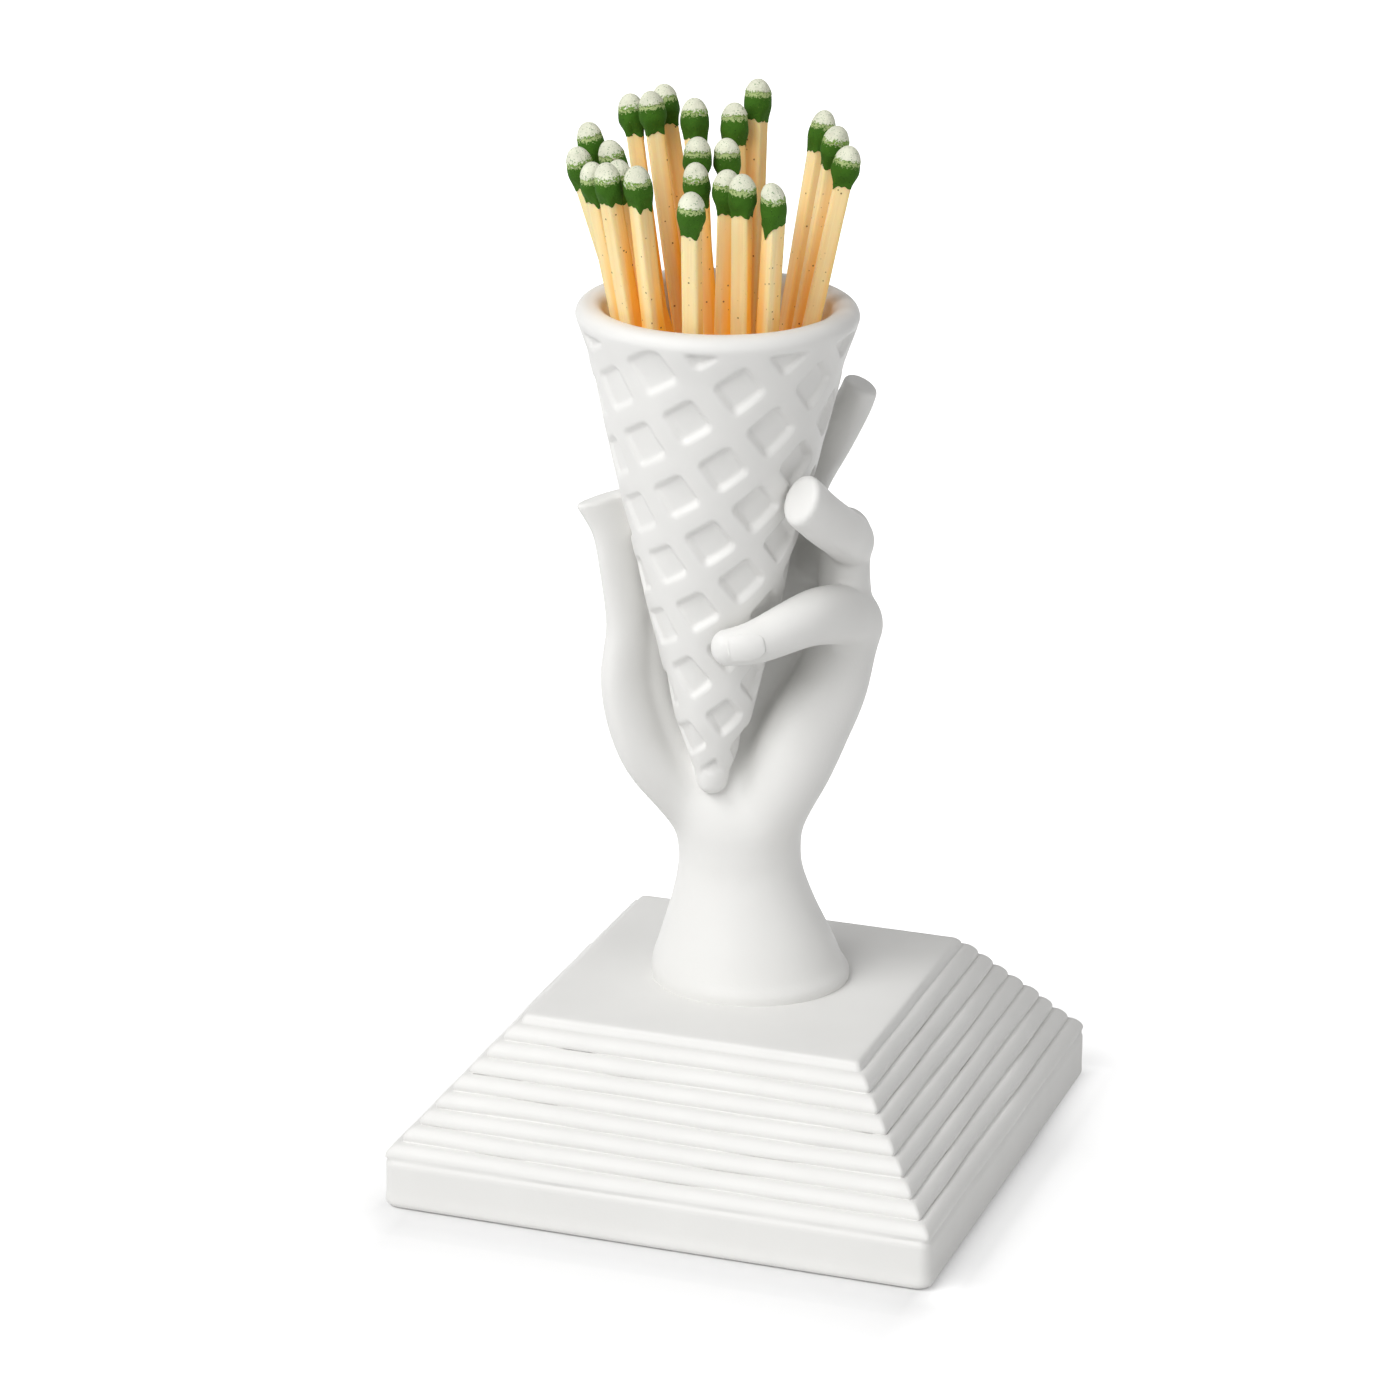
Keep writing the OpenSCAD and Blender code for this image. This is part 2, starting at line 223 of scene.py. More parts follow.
class StrikerBase(bpy.types.PropertyGroup):
    """Sizes of the ridged base"""
    width: length("Width", "Side of the square foot", (BODY_HIGH.x - BODY_LOW.x) / MM)
    top: length("Top", "Side of the flat top", 46.6)
    height: length("Height", "Height of the base", 24.3)
    band: length("Band", "Height of the plain band under the ridges", 7.0)
    cap: length("Cap", "Height of the plain edge above the ridges", 1.3)
    ridges: IntProperty(name="Ridges", description="Number of striking ridges", default=8)
    ridge_out: length("Ridge", "How far a ridge stands out", 0.6)
    corner: length("Corner", "Radius of the upright corners", 1.8)
    foot_round: length("Foot edge", "Rounding of the lowest edge", 1.2)
    foot_rim: length("Foot rim", "Width of the rim it stands on", 6.0)
    recess: length("Recess", "Depth of the panel underneath", 1.2)
    unevenness: length("Unevenness", "Waviness of the hand-cut ridges", 0.2)


class StrikerCone(bpy.types.PropertyGroup):
    """Sizes of the waffle cone cup"""
    rim_z: length("Rim height", "Height of the rim", BODY_HIGH.z / MM)
    rim_r: length("Rim radius", "Outer radius of the rim", 18.4)
    slope: number("Slope", "Widening for each unit of height", 0.235)
    wall: length("Wall", "Thickness of the rim", 3.7)
    depth: length("Depth", "Depth of the cup", 30.0)
    tip_r: length("Tip", "Radius of the blunt tip", 3.3)
    left: length("Left", "Place of the axis to the left of the wrist", 4.9)
    front: length("Front", "Place of the axis in front of the wrist", 4.0)
    band: length("Band", "Height of the plain band under the rim", 2.7)
    pitch: length("Pitch", "Distance between cells near the rim", 6.8)
    cell: length("Cell", "Side of a cell near the rim", 4.9)
    cell_depth: length("Cell depth", "Depth of a cell", 0.9)
    cell_turn: angle("Cell turn", "Turn of the rows from the level", 36)
    shrink: number("Shrink", "How far cells shrink towards the tip", 0.83)
    unevenness: length("Unevenness", "Waviness of the cast surface", 0.12)


class StrikerHand(bpy.types.PropertyGroup):
    """Sizes of the arm and hand"""
    turn: angle("Turn", "Turn of the hand on the base", 19)
    fineness: length("Fineness", "Spacing of the surface's points", 0.42)
    finger_blend: length("Finger blend", "Rounding where a finger leaves the palm", 3.0)
    palm_blend: length("Palm blend", "Rounding between the pads of the palm", 3.5)
    crease: length("Crease", "Rounding between neighbouring fingers", 0.9)
    fillet: length("Fillet", "Rounding where the hand meets the cone", 0.8)


class StrikerMatch(bpy.types.PropertyGroup):
    """Sizes of the matches"""
    head_r: length("Head radius", "Largest radius of a head", 1.8)
    head_l: length("Head length", "Length of a head with its tip", 5.4)
    tip_l: length("Tip length", "Length of the pale tip", 1.9)
    edge: length("Edge", "Rounding of a stick's long edges", 0.16)
    waviness: length("Waviness", "Unevenness of the dipped compound", 0.1)


class StrikerColours(bpy.types.PropertyGroup):
    """Colours of the finishes"""
    porcelain: colour("Porcelain", "Unglazed porcelain", (0.80, 0.795, 0.775))
    wood: colour("Wood", "Match wood", (0.96, 0.79, 0.45))
    wood_dark: colour("Wood grain", "Darker grain of the match wood", (0.94, 0.58, 0.20))
    # Painted shade: the deep orange the wood takes between the matches, low down and on its shaded
    # side
    wood_painted_shade: colour("Wood gaps", "Glow of the wood between the matches", (0.94, 0.47, 0.06))
    green: colour("Green", "Green compound of the heads", (0.042, 0.13, 0.008))
    pale: colour("Pale", "Pale compound of the tips", (0.80, 0.81, 0.65))


class StrikerStage(bpy.types.PropertyGroup):
    """Camera, lamps and floor"""
    azimuth: angle("Azimuth", "Camera's turn to the right of the front", 18.88)
    elevation: angle("Elevation", "Camera's height over the horizon", 19.42)
    roll: angle("Roll", "Camera's roll", 0.59)
    distance: length("Distance", "Camera's distance from its aim", 709.9)
    aim_right: length("Aim right", "Aim to the right of the centre", -6.6)
    aim_up: length("Aim up", "Height of the aim", 63.66)
    lens: number("Lens", "Focal length in millimetres on a 36 mm sensor", 137.16)
    key: number("Key lamp", "Power of the key lamp in watts", 8.8)
    front: number("Front lamp", "Power of the front lamp in watts", 9.8)
    fill: number("Fill lamp", "Power of the fill lamp in watts", 3.0)
    world: number("World", "Strength of the even light all round", 0.28)


SETTINGS = {
    "striker_base": StrikerBase,
    "striker_cone": StrikerCone,
    "striker_hand": StrikerHand,
    "striker_match": StrikerMatch,
    "striker_colours": StrikerColours,
    "striker_stage": StrikerStage,
}


# Materials

WOOD_SPECK = (0.17, 0.08, 0.03)
GREEN_DUST = (0.42, 0.52, 0.22)
GREEN_SPECK_SHARE = 0.35
PALE_SPECK = (0.16, 0.3, 0.13)
PALE_DUST = (0.2, 0.34, 0.07)
# Noise at which specks start and at which they are full, and how rough the crust is
GREEN_CRUST = (0.66, 0.74, 0.35)
PALE_CRUST = (0.61, 0.70, 0.55)


def new_material(name):
    """A material with nodes, its shader and its links."""
    material = bpy.data.materials.new(name)
    material.use_nodes = True
    tree = material.node_tree
    return material, tree, tree.nodes["Principled BSDF"]


def feed(tree, node, inputs):
    """Sets a node's inputs to values, or links sockets to them."""
    for key, value in inputs.items():
        if isinstance(value, bpy.types.NodeSocket):
            tree.links.new(value, node.inputs[key])
        else:
            node.inputs[key].default_value = value


def add_node(tree, kind, inputs=None, **attributes):
    """A shader node with its attributes and inputs set."""
    node = tree.nodes.new(kind)
    for key, value in attributes.items():
        setattr(node, key, value)
    feed(tree, node, inputs or {})
    return node


def object_place(tree):
    """Each point's place in its object, in metres."""
    return add_node(tree, "ShaderNodeTexCoord").outputs["Object"]


def mark_value(tree, name):
    """A named value of the mesh's points."""
    return add_node(tree, "ShaderNodeAttribute", attribute_name=name).outputs["Fac"]


def noise(tree, vector, scale, detail=2.0, roughness=0.5):
    """Fine noise from 0 to 1 on a vector."""
    inputs = {"Vector": vector, "Scale": scale, "Detail": detail, "Roughness": roughness}
    return add_node(tree, "ShaderNodeTexNoise", inputs).outputs["Fac"]


def math_node(tree, operation, *values):
    """The result of a plain calculation on values or sockets."""
    inputs = dict(enumerate(values))
    return add_node(tree, "ShaderNodeMath", inputs, operation=operation).outputs[0]


def spread(tree, value, low, high, to_low=0.0, to_high=1.0):
    """Maps a value from one range to another, clamped."""
    inputs = {"Value": value, "From Min": low, "From Max": high,
              "To Min": to_low, "To Max": to_high}
    return add_node(tree, "ShaderNodeMapRange", inputs).outputs["Result"]


def blend(tree, share, first, second):
    """A colour between two, by a share from 0 to 1."""
    inputs = {0: share, 6: first, 7: second}
    return add_node(tree, "ShaderNodeMix", inputs, data_type="RGBA").outputs[2]


def bump(tree, height, strength, distance):
    """A surface normal raised by a height."""
    inputs = {"Height": height, "Strength": strength, "Distance": distance}
    return add_node(tree, "ShaderNodeBump", inputs).outputs["Normal"]


def opaque(value, factor=1.0):
    """A colour times a factor, with nothing of it seen through."""
    return (value[0] * factor, value[1] * factor, value[2] * factor, 1.0)


def porcelain_material(name, colours):
    """Unglazed porcelain: near white, a silky matte, with a very fine grain."""
    material, tree, shader = new_material(name)
    place = object_place(tree)
    cloud = spread(tree, noise(tree, place, 60, 3), 0.35, 0.65)
    tint = blend(tree, cloud, opaque(colours.porcelain, 0.985), opaque(colours.porcelain, 1.01))
    grain = noise(tree, place, 2600, 2, 0.6)
    swell = noise(tree, place, 260, 2)
    height = math_node(tree, "ADD", grain, swell)
    feed(tree, shader, {
        "Base Color": tint,
        "Roughness": spread(tree, swell, 0.3, 0.7, 0.46, 0.56),
        "Normal": bump(tree, height, 0.12, 0.00012),
        "Specular IOR Level": 0.42,
    })
    return material


def wood_material(name, colours):
    """Sawn match wood: long fine grain along the stick, faint bands and a few dark specks.
    The pattern follows the stick's own map, in metres round and along it. The colour deepens to
    a painted shade by the stick's painted shade mark, where another stick is near, and a faint
    emission is painted light that stands for the light that comes through such thin wood."""
    material, tree, shader = new_material(name)
    place = add_node(tree, "ShaderNodeUVMap", uv_map="grain").outputs["UV"]
    fibres = add_node(tree, "ShaderNodeMapping", {"Vector": place, "Scale": (4200, 130, 1)})
    bands = add_node(tree, "ShaderNodeMapping", {"Vector": place, "Scale": (700, 26, 1)})
    fibre = noise(tree, fibres.outputs[0], 1, 3, 0.6)
    band = noise(tree, bands.outputs[0], 1, 2)
    grain = blend(tree, spread(tree, fibre, 0.3, 0.75), opaque(colours.wood, 1.03),
                  opaque(colours.wood, 0.93))
    tone = blend(tree, spread(tree, band, 0.42, 0.8, 0, 0.6), grain, opaque(colours.wood_dark))
    dots = add_node(tree, "ShaderNodeTexVoronoi",
                    {"Vector": place, "Scale": 1050.0, "Randomness": 1.0}).outputs["Distance"]
    rare = spread(tree, noise(tree, place, 520, 1), 0.47, 0.56)
    dot = spread(tree, dots, 0.09, 0.16, 1, 0)
    speck = math_node(tree, "MULTIPLY", rare, dot)
    # Painted shade: the stick's painted shade mark blends the wood towards its painted shade colour
    near = mark_value(tree, "painted_shade")
    painted_shade_tone = blend(tree, near, tone, opaque(colours.wood_painted_shade))
    speckled = blend(tree, speck, painted_shade_tone, opaque(WOOD_SPECK))
    # The emission is painted light: all the wood gives off a little light, more where it has
    # painted shade
    feed(tree, shader, {
        "Base Color": speckled,
        "Emission Color": speckled,
        "Emission Strength": math_node(tree, "MULTIPLY_ADD", near, 0.08, 0.03),
        "Normal": bump(tree, fibre, 0.5, 0.00008),
        "Subsurface Weight": 0.4,
        "Subsurface Radius": (1.0, 0.5, 0.1),
        "Subsurface Scale": 0.002,
        "Roughness": 0.72,
        "Specular IOR Level": 0.2,
    })
    return material


def compound_material(name, base, speck, dust, specks_from, specks_to, rough):
    """Dipped match compound: a matte crust with pores, pits and specks of another colour, and a
    dusting where the green meets the pale tip."""
    material, tree, shader = new_material(name)
    place = object_place(tree)
    crust = noise(tree, place, 1500, 3, 0.65)
    pores = noise(tree, place, 4200, 2, 0.6)
    cloud = noise(tree, place, 420, 2)
    tone = blend(tree, spread(tree, cloud, 0.3, 0.7), opaque(base, 0.86), opaque(base, 1.1))
    specks = spread(tree, pores, specks_from, specks_to)
    speckled = blend(tree, specks, tone, opaque(speck))
    border = mark_value(tree, "border")
    grains = noise(tree, place, 3300, 2, 0.7)
    share = math_node(tree, "MULTIPLY_ADD", border, 0.36, grains)
    dusted = blend(tree, spread(tree, share, 0.72, 0.84), speckled, opaque(dust))
    height = math_node(tree, "ADD", crust, pores)
    feed(tree, shader, {
        "Base Color": dusted,
        "Normal": bump(tree, height, rough, 0.00025),
        "Roughness": 0.82,
        "Specular IOR Level": 0.18,
    })
    return material


def seen_directly(tree):
    """1 on rays from the camera and on those that metal and glass send on."""
    path = add_node(tree, "ShaderNodeLightPath").outputs
    glossy = math_node(tree, "MAXIMUM", path["Is Camera Ray"], path["Is Glossy Ray"])
    return math_node(tree, "MAXIMUM", glossy, path["Is Transmission Ray"])


def floor_material(name):
    """White floor: a diffuse white that keeps shadows. Where the camera sees it, it is lifted to
    white, less beside the foot and least in front of it, where the lamps reach. This lift is
    painted light that shapes the shadow round the foot: on the right and back it is higher right
    against the foot than a few millimetres out, which lightens the real shadow there. Distances
    are in metres from the middle of the foot."""
    material, tree, shader = new_material(name)
    place = object_place(tree)
    flat = add_node(tree, "ShaderNodeSeparateXYZ", {0: place}).outputs
    sides = [math_node(tree, "ABSOLUTE", flat[k]) for k in (0, 1)]
    away = math_node(tree, "MAXIMUM", *sides)
    foot = 0.038
    # Painted light: the lift is highest against the foot on its right and back, lightening the real
    # shadow there
    shaded = spread(tree, math_node(tree, "MAXIMUM", flat[0], flat[1]), foot - 0.002, foot + 0.003)
    front = spread(tree, away, foot, foot + 0.008, 0.0, 0.2)
    side = spread(tree, away, foot, foot + 0.0035, 0.6, 0.32)
    near = math_node(tree, "MULTIPLY_ADD", shaded, math_node(tree, "SUBTRACT", side, front), front)
    back = spread(tree, flat[1], 0.012, 0.04, 0, 0.24)
    left = spread(tree, flat[0], 0.004 - foot, -0.002 - foot, 0, 0.2)
    far = spread(tree, away, foot + 0.007, foot + 0.047, 0, 0.42)
    open_side = math_node(tree, "MAXIMUM", back, left)
    raised = math_node(tree, "ADD", near, math_node(tree, "ADD", open_side, far))
    feed(tree, shader, {
        "Base Color": (0.8, 0.8, 0.8, 1),
        "Roughness": 1.0,
        "Specular IOR Level": 0.0,
        "Emission Color": (1, 1, 1, 1),
        "Emission Strength": math_node(tree, "MULTIPLY", seen_directly(tree), raised),
    })
    return material


def shared_material(name, make, *values):
    """The material of that name, made once."""
    return bpy.data.materials.get(name) or make(name, *values)


# The base

# The two edges go out and down from a corner of the profile, the ridge along the slope and out
# of it, as shares of a ridge
TOP_EDGE = [[-1, 0], [-0.2, 0.12], [0.35, 0.6]]
BAND_EDGE = [[-0.3, 0.05], [0, 0.7]]
RIDGE_SHAPE = [[0, 0], [0.08, 0.4], [0.25, 0.86], [0.5, 1], [0.77, 0.88], [0.94, 0.42]]
RIDGE_CORNER = 0.7
# Plain slope over the first ridge and under the last, as shares of a ridge
BEFORE_RIDGES = 0.3
AFTER_RIDGES = 0.15
RIDGE_ROWS = 12
SIDE_COLUMNS = 64
CORNER_COLUMNS = 9


def square_columns():
    """Round a square: each column's place on the square of half side 1, and its outward normal,
    which turns through a quarter circle at a corner."""
    places, normals = [], []
    for quarter in range(4):
        a = math.radians(90 * quarter + 45)
        corner = np.array([math.cos(a), math.sin(a)]) * math.sqrt(2)
        following = np.array([-corner[1], corner[0]])
        turn = np.radians(90 * quarter + np.linspace(0, 90, CORNER_COLUMNS))
        share = np.linspace(0, 1, SIDE_COLUMNS + 2)[1:-1, None]
        side = np.radians(90 * (quarter + 1))
        places += [np.repeat(corner[None], CORNER_COLUMNS, 0),
                   corner + (following - corner) * share]
        normals += [np.stack([np.cos(turn), np.sin(turn)], -1),
                    np.repeat([[math.cos(side), math.sin(side)]], SIDE_COLUMNS, 0)]
    return np.concatenate(places), np.concatenate(normals)


def base_profile(s):
    """Half side, height and ridge number of each row, from the middle of the top, over the
    ridges and the band, round the foot and in to the middle of the underside."""
    half, high = s.width / 2, s.height
    top, band, cap = s.top / 2, s.band, s.cap
    step_h = (high - band - cap) / s.ridges
    step_w = (half - top) / (s.ridges + BEFORE_RIDGES + AFTER_RIDGES)
    fall = math.hypot(step_w, step_h)
    control = []
    for k in range(s.ridges):
        for share, out in RIDGE_SHAPE:
            along, lift = k + share, out * s.ridge_out
            control.append([top + (BEFORE_RIDGES + along) * step_w + lift * step_h / fall,
                            high - cap - along * step_h + lift * step_w / fall, k])
    places = np.linspace(0, len(control) - 1, RIDGE_ROWS * s.ridges)
    slope = curve(control, places)
    slope[:, 2] = places / len(RIDGE_SHAPE)
    inner = [[top * share, high, 0] for share in (0.3, 0.55, 0.75, 0.88)]
    edge = curve([[top + out, high - down, 0] for out, down in TOP_EDGE], np.linspace(0, 2, 7))
    belt = curve([[half + out, band - down, s.ridges] for out, down in BAND_EDGE],
                 np.linspace(0, 1, 4))
    foot = s.foot_round
    face = [[half, z, s.ridges] for z in np.linspace(band - 1.2, foot + 0.4, 7)]
    turn = np.radians(np.linspace(0, 90, 7))
    rounding = np.stack([half - foot * (1 - np.cos(turn)), foot * (1 - np.sin(turn)),
                         np.full(7, s.ridges)], -1)
    panel, up = half - s.foot_rim, s.recess
    # Under the foot: the rim it stands on, then the sunk panel
    under = [[half - 2.5, 0, 0], [panel + 0.4, 0, 0], [panel, 0.3, 0], [panel, up - 0.2, 0],
             [panel - 0.3, up, 0], [panel * 0.6, up, 0], [panel * 0.2, up, 0]]
    return np.concatenate([inner, edge, slope, belt, face, rounding, under])


def base_surface(s):
    """Each row of the profile carried round the rounded square, pushed in and out by ripples."""
    rows = base_profile(s)
    places, normals = square_columns()
    place_x, place_y = places.T[:, None]
    normal_x, normal_y = normals.T[:, None]
    half, high, ridge = rows.T[:, :, None]
    edged = ease((high - s.band + 0.6) / 0.8)
    radius = s.corner + (RIDGE_CORNER - s.corner) * edged
    radius = np.minimum(radius, half * 0.3)
    x = place_x * (half - radius) + normal_x * radius
    y = place_y * (half - radius) + normal_y * radius
    number_of = np.floor(ridge)
    inside = ease((high - 0.5) / 2) * ease((s.height - high) / 0.6)
    wave = ripple(x * 0.9 + 9 * number_of, y * 0.9 - 5 * number_of, number_of * 0.37)
    slow = ripple(x * 0.16, y * 0.16, 2.0)
    out = (0.75 * wave - 0.85 + 0.35 * slow) * s.unevenness * inside
    drop = ripple(x * 0.4 - 7 * number_of, y * 0.4, 1 + number_of * 0.61)
    sink = drop * s.unevenness * 0.9 * inside * ease(ridge / 0.5)
    sink = sink * ease((s.ridges - ridge) / 0.4)
    grid = np.stack([x + normal_x * out, y + normal_y * out, high + sink], -1)
    return closed_surface(grid[::-1])


# The waffle cone cup

CONE_COLUMNS = 380
WALL_ROWS = 196
# Where the first cell lies: degrees from the front, and share of the way from the apex to the rim
FIRST_CELL = [9.8, 0.906]
LATTICE_AT = 0.9
CELL_WALL = 0.68
CELL_CORNER = 0.6
CELL_PILLOW = 0.1
# The cells drift across and along their rows over this span from the apex
CELL_DRIFT = [0.1, 0.2]
DRIFT_SPAN = [24, 34]
# Cells are shallower round this turn from the front, by this share, and the waffle ends this
# far from the apex
SHALLOW_TURN = -80
SHALLOW = 0.5
WAFFLE_END = 14.2
# How far the wall draws in at the tip and over what height, and how far it flares at the rim
TIP_TAPER = [1.2, 9.0]
RIM_FLARE = 0.4


def cell_recess(turn, slant, s):
    """Depth of the waffle at each point of the unrolled cone. The cone is unrolled and drawn
    together towards the tip; there the cells are a square grid, each a rounded square whose
    depth falls off smoothly over its edge."""
    turn, slant = np.broadcast_arrays(turn, slant)
    share = math.sin(math.atan(s.slope))
    rim_slant = s.rim_r / share
    at = rim_slant * LATTICE_AT

    def laid(a, length_along):
        a = a * share * s.shrink
        r = at * (length_along / at) ** s.shrink
        return np.stack([r * np.sin(a), r * np.cos(a)], -1)

    start = laid(np.radians(FIRST_CELL[0]), np.array(rim_slant * FIRST_CELL[1]))
    place = laid(turn, slant) - start
    c, d = math.cos(s.cell_turn), math.sin(s.cell_turn)
    drift = ease((DRIFT_SPAN[1] - slant) / (DRIFT_SPAN[1] - DRIFT_SPAN[0]))
    i = (place[..., 0] * c + place[..., 1] * d) / s.pitch - CELL_DRIFT[0] * drift
    j = (place[..., 0] * d - place[..., 1] * c) / s.pitch - CELL_DRIFT[1] * drift
    row, column = np.round(i), np.round(j)
    size = s.cell * s.shrink * (0.47 + 0.05 * scatter(row, column, 1))
    x = np.abs(i - row + 0.03 * (scatter(row, column, 2) - 0.5)) * s.pitch
    y = np.abs(j - column + 0.03 * (scatter(row, column, 3) - 0.5)) * s.pitch
    ex, ey = x - size + CELL_CORNER, y - size + CELL_CORNER
    outside = np.hypot(np.maximum(ex, 0), np.maximum(ey, 0))
    edge = outside + np.minimum(np.maximum(ex, ey), 0) - CELL_CORNER
    shallow = 1 - SHALLOW * ease((np.cos(turn - math.radians(SHALLOW_TURN)) - 0.25) / 0.6)
    depth = s.cell_depth * (0.82 + 0.3 * scatter(row, column, 4)) * shallow
    pillow = CELL_PILLOW * ease(0.5 - edge / 3)
    return depth * ease(0.5 - edge / CELL_WALL) + pillow


def tip_height(cone):
    """Height at which the cone's straight wall passes into its blunt tip."""
    return cone.rim_z - (cone.rim_r - cone.tip_r) / cone.slope


def cone_profile(s):
    """Radius and height of each ring: blunt tip, straight wall, rounded rim, inner wall and the
    cup's floor. The wall draws in a little more just over the tip and flares under the rim. Also
    the rings of the wall and the height where it starts."""
    inner_r, lip = s.rim_r - s.wall, s.wall * 0.45
    tip_z = tip_height(s)
    end_r, end_z = s.tip_r - TIP_TAPER[0], tip_z - TIP_TAPER[0]
    low = np.radians(np.linspace(-88, -20, 9))
    tip = np.stack([end_r * np.cos(low), end_z + end_r * np.sin(low)], -1)
    wall_z = np.linspace(end_z, s.rim_z - lip * 1.2, WALL_ROWS)
    drawn = TIP_TAPER[0] * np.clip(1 - (wall_z - end_z) / TIP_TAPER[1], 0, 1) ** 1.3
    flare = RIM_FLARE * ease((wall_z - s.rim_z + 7) / 5.4)
    wall_r = s.rim_r - (s.rim_z - np.maximum(wall_z, tip_z)) * s.slope - drawn + flare
    wall = np.stack([np.maximum(wall_r, end_r), wall_z], -1)
    turn = np.radians(np.linspace(0, 90, 9))
    rise = s.rim_z - lip + lip * np.sin(turn)
    rim = np.stack([s.rim_r - lip + lip * np.cos(turn), rise], -1)
    fall = np.stack([inner_r + lip - lip * np.cos(turn), rise], -1)[::-1]
    floor_r, floor_z = inner_r - s.slope * s.depth, s.rim_z - s.depth
    inner_z = np.linspace(s.rim_z - lip - 1, floor_z + 1.2, 16)
    inner = np.stack([inner_r - s.slope * (s.rim_z - inner_z), inner_z], -1)
    bottom = [[floor_r - 0.2, floor_z + 0.3], [floor_r - 1, floor_z], [floor_r * 0.5, floor_z]]
    profile = np.concatenate([tip, wall, rim, fall, inner, bottom])
    return profile, slice(len(tip), len(tip) + WALL_ROWS), tip_z


def cone_surface(s, hand):
    """The profile turned about the cone's axis. The waffle and the ripples push its points along
    the wall's normal."""
    profile, walls, tip_z = cone_profile(s)
    lean = math.atan(s.slope)
    angles = round_angles(CONE_COLUMNS)
    r, z = profile.T[:, :, None]
    height = z[walls]
    slant = (s.rim_r - (s.rim_z - height) * s.slope) / math.sin(lean)
    recess = cell_recess(wrap(angles + math.pi / 2), slant, s)
    band_line = s.rim_z - s.band + 0.25 * np.sin(3 * angles + 1)
    recess = recess * ease(0.5 - (height - band_line) / 0.7) * ease((slant - WAFFLE_END) / 2)
    across, along = np.cos(angles) * 9, np.sin(angles) * 9
    uneven = ripple(across * 1.6 + z * 0.1, along * 1.6 + z * 0.45, 0.4)
    push = uneven * s.unevenness * ease((z - tip_z) / 4)
    push[walls] -= recess
    radius = r + push * math.cos(lean)
    level = z - push * math.sin(lean)
    past = walls.stop
    radius[past:] = r[past:] + push[past:] * 0.6
    level[past:] = z[past:] - np.abs(push[past:]) * 0.5
    x = radius * np.cos(angles) - s.left
    y = radius * np.sin(angles) - s.front
    return closed_surface(onto_base(np.stack([x, y, level], -1), hand))


# The hand. Stations are x, y, z, half width, half thickness and roll in the hand's own frame.
# The thickness points away from the cone, turned about the limb by the roll.
ARM = [
    [0.6, 0.6, 23.4, 13.2, 11.8], [0.6, 0.6, 25.2, 13.4, 12], [0.2, 0.6, 27, 12.8, 11.2],
    [0, 0.6, 30, 11.7, 10.1], [-0.5, 0.6, 35, 9.8, 8.2], [-0.9, 0.6, 39.5, 8.5, 6.9],
    [-1.1, 0.5, 43, 8.2, 6.5], [-1.4, 0.5, 46.5, 8.5, 6.3], [-1.8, 1.2, 50, 10, 6],
    [-1.8, 2.6, 54, 11.8, 5.6], [-1.8, 4.4, 59, 13.2, 5.2], [-1.4, 6, 65, 13, 4.8],
    [-1, 7.4, 71, 12.4, 4.5], [-0.6, 8.8, 78, 11.8, 4.2], [-0.4, 10.2, 84, 11, 3.8],
    [-0.4, 11.4, 88, 9.6, 3.2]
]
THUMB = [
    [-4.6, 0, 46, 3.8, 3.4, 10], [-7.7, -0.8, 52, 5.4, 4.3, 20], [-12.1, -1.2, 59, 6.4, 4.5, 27],
    [-14.3, -1.2, 67, 6.5, 4, 30], [-14.2, -1, 75, 5.8, 3.3, 32], [-15.4, -1, 83, 5.5, 2.7, 34],
    [-16.9, -1.2, 89.6, 5.2, 2.2, 40], [-20, -1.4, 95, 5.2, 2, 40]
]
HEEL = [
    [1.6, 0.2, 44, 3.6, 3.8, 0], [3.5, -1.6, 50, 4.8, 4.8, 0], [5.4, -2.2, 55, 4.9, 5.5, 0],
    [7.8, -1.2, 60.5, 5, 5.6, 0], [10.8, 0.8, 66, 4.9, 5, 0], [13.1, 3, 73, 4.4, 4.1, 0]
]
LITTLE = [
    [11, 5.5, 71, 3.6, 3.4, 0], [13.5, 0.6, 75.2, 3.9, 3.7, 0], [8.4, -9.2, 78.6, 3.8, 3.2, 0],
    [0.8, -14, 76.8, 2.9, 2.7, 0], [-3.2, -15, 76.2, 2.4, 2.1, 0]
]
RING = [
    [7.5, 10, 80, 3.4, 3.2, 0], [12.6, 1, 85.4, 3.5, 3.3, 0], [11.8, -5, 88.6, 3.4, 3.1, 0],
    [8.9, -11.6, 92.8, 3.4, 2.9, 0], [5.9, -16, 96.8, 3.4, 2.7, 0], [4.3, -18, 98.4, 3.3, 2.6, 0]
]
KNUCKLES = [
    [12.4, 1.4, 87, 3.6, 3.2, 0], [12.3, 1.2, 81, 4, 3.4, 0], [12.8, 1.6, 76, 3.8, 3.4, 0]
]
MIDDLE = [
    [2, 12, 82, 3.4, 3.1, 0], [5.6, 10.4, 87.5, 3.2, 3, 0], [8, 8, 93.4, 3.1, 2.9, 0],
    [10.7, 5, 99, 3, 2.6, 0], [13.4, 3.4, 104.6, 3, 2.2, 0], [14.4, 3, 108, 3, 2.2, 0]
]
INDEX = [
    [-6, 11.6, 82, 3.4, 3.1, 0], [-7, 12.4, 90, 3.2, 3, 0], [-6.6, 14, 99, 3, 2.8, 0],
    [-6, 15.4, 107, 2.6, 2.3, 0]
]
# The flat ends of three fingers: a point, the direction that it faces and its edge's rounding
THUMB_END = [[-20.4, 0, 92.3], [-0.12, 0, 1], 0.9]
MIDDLE_END = [[13.6, 3.2, 107.0], [0.3, -0.1, 1], 1.3]
RING_END = [[6.1, -16, 97], [-0.6, -0.66, 0.45], 1.6]
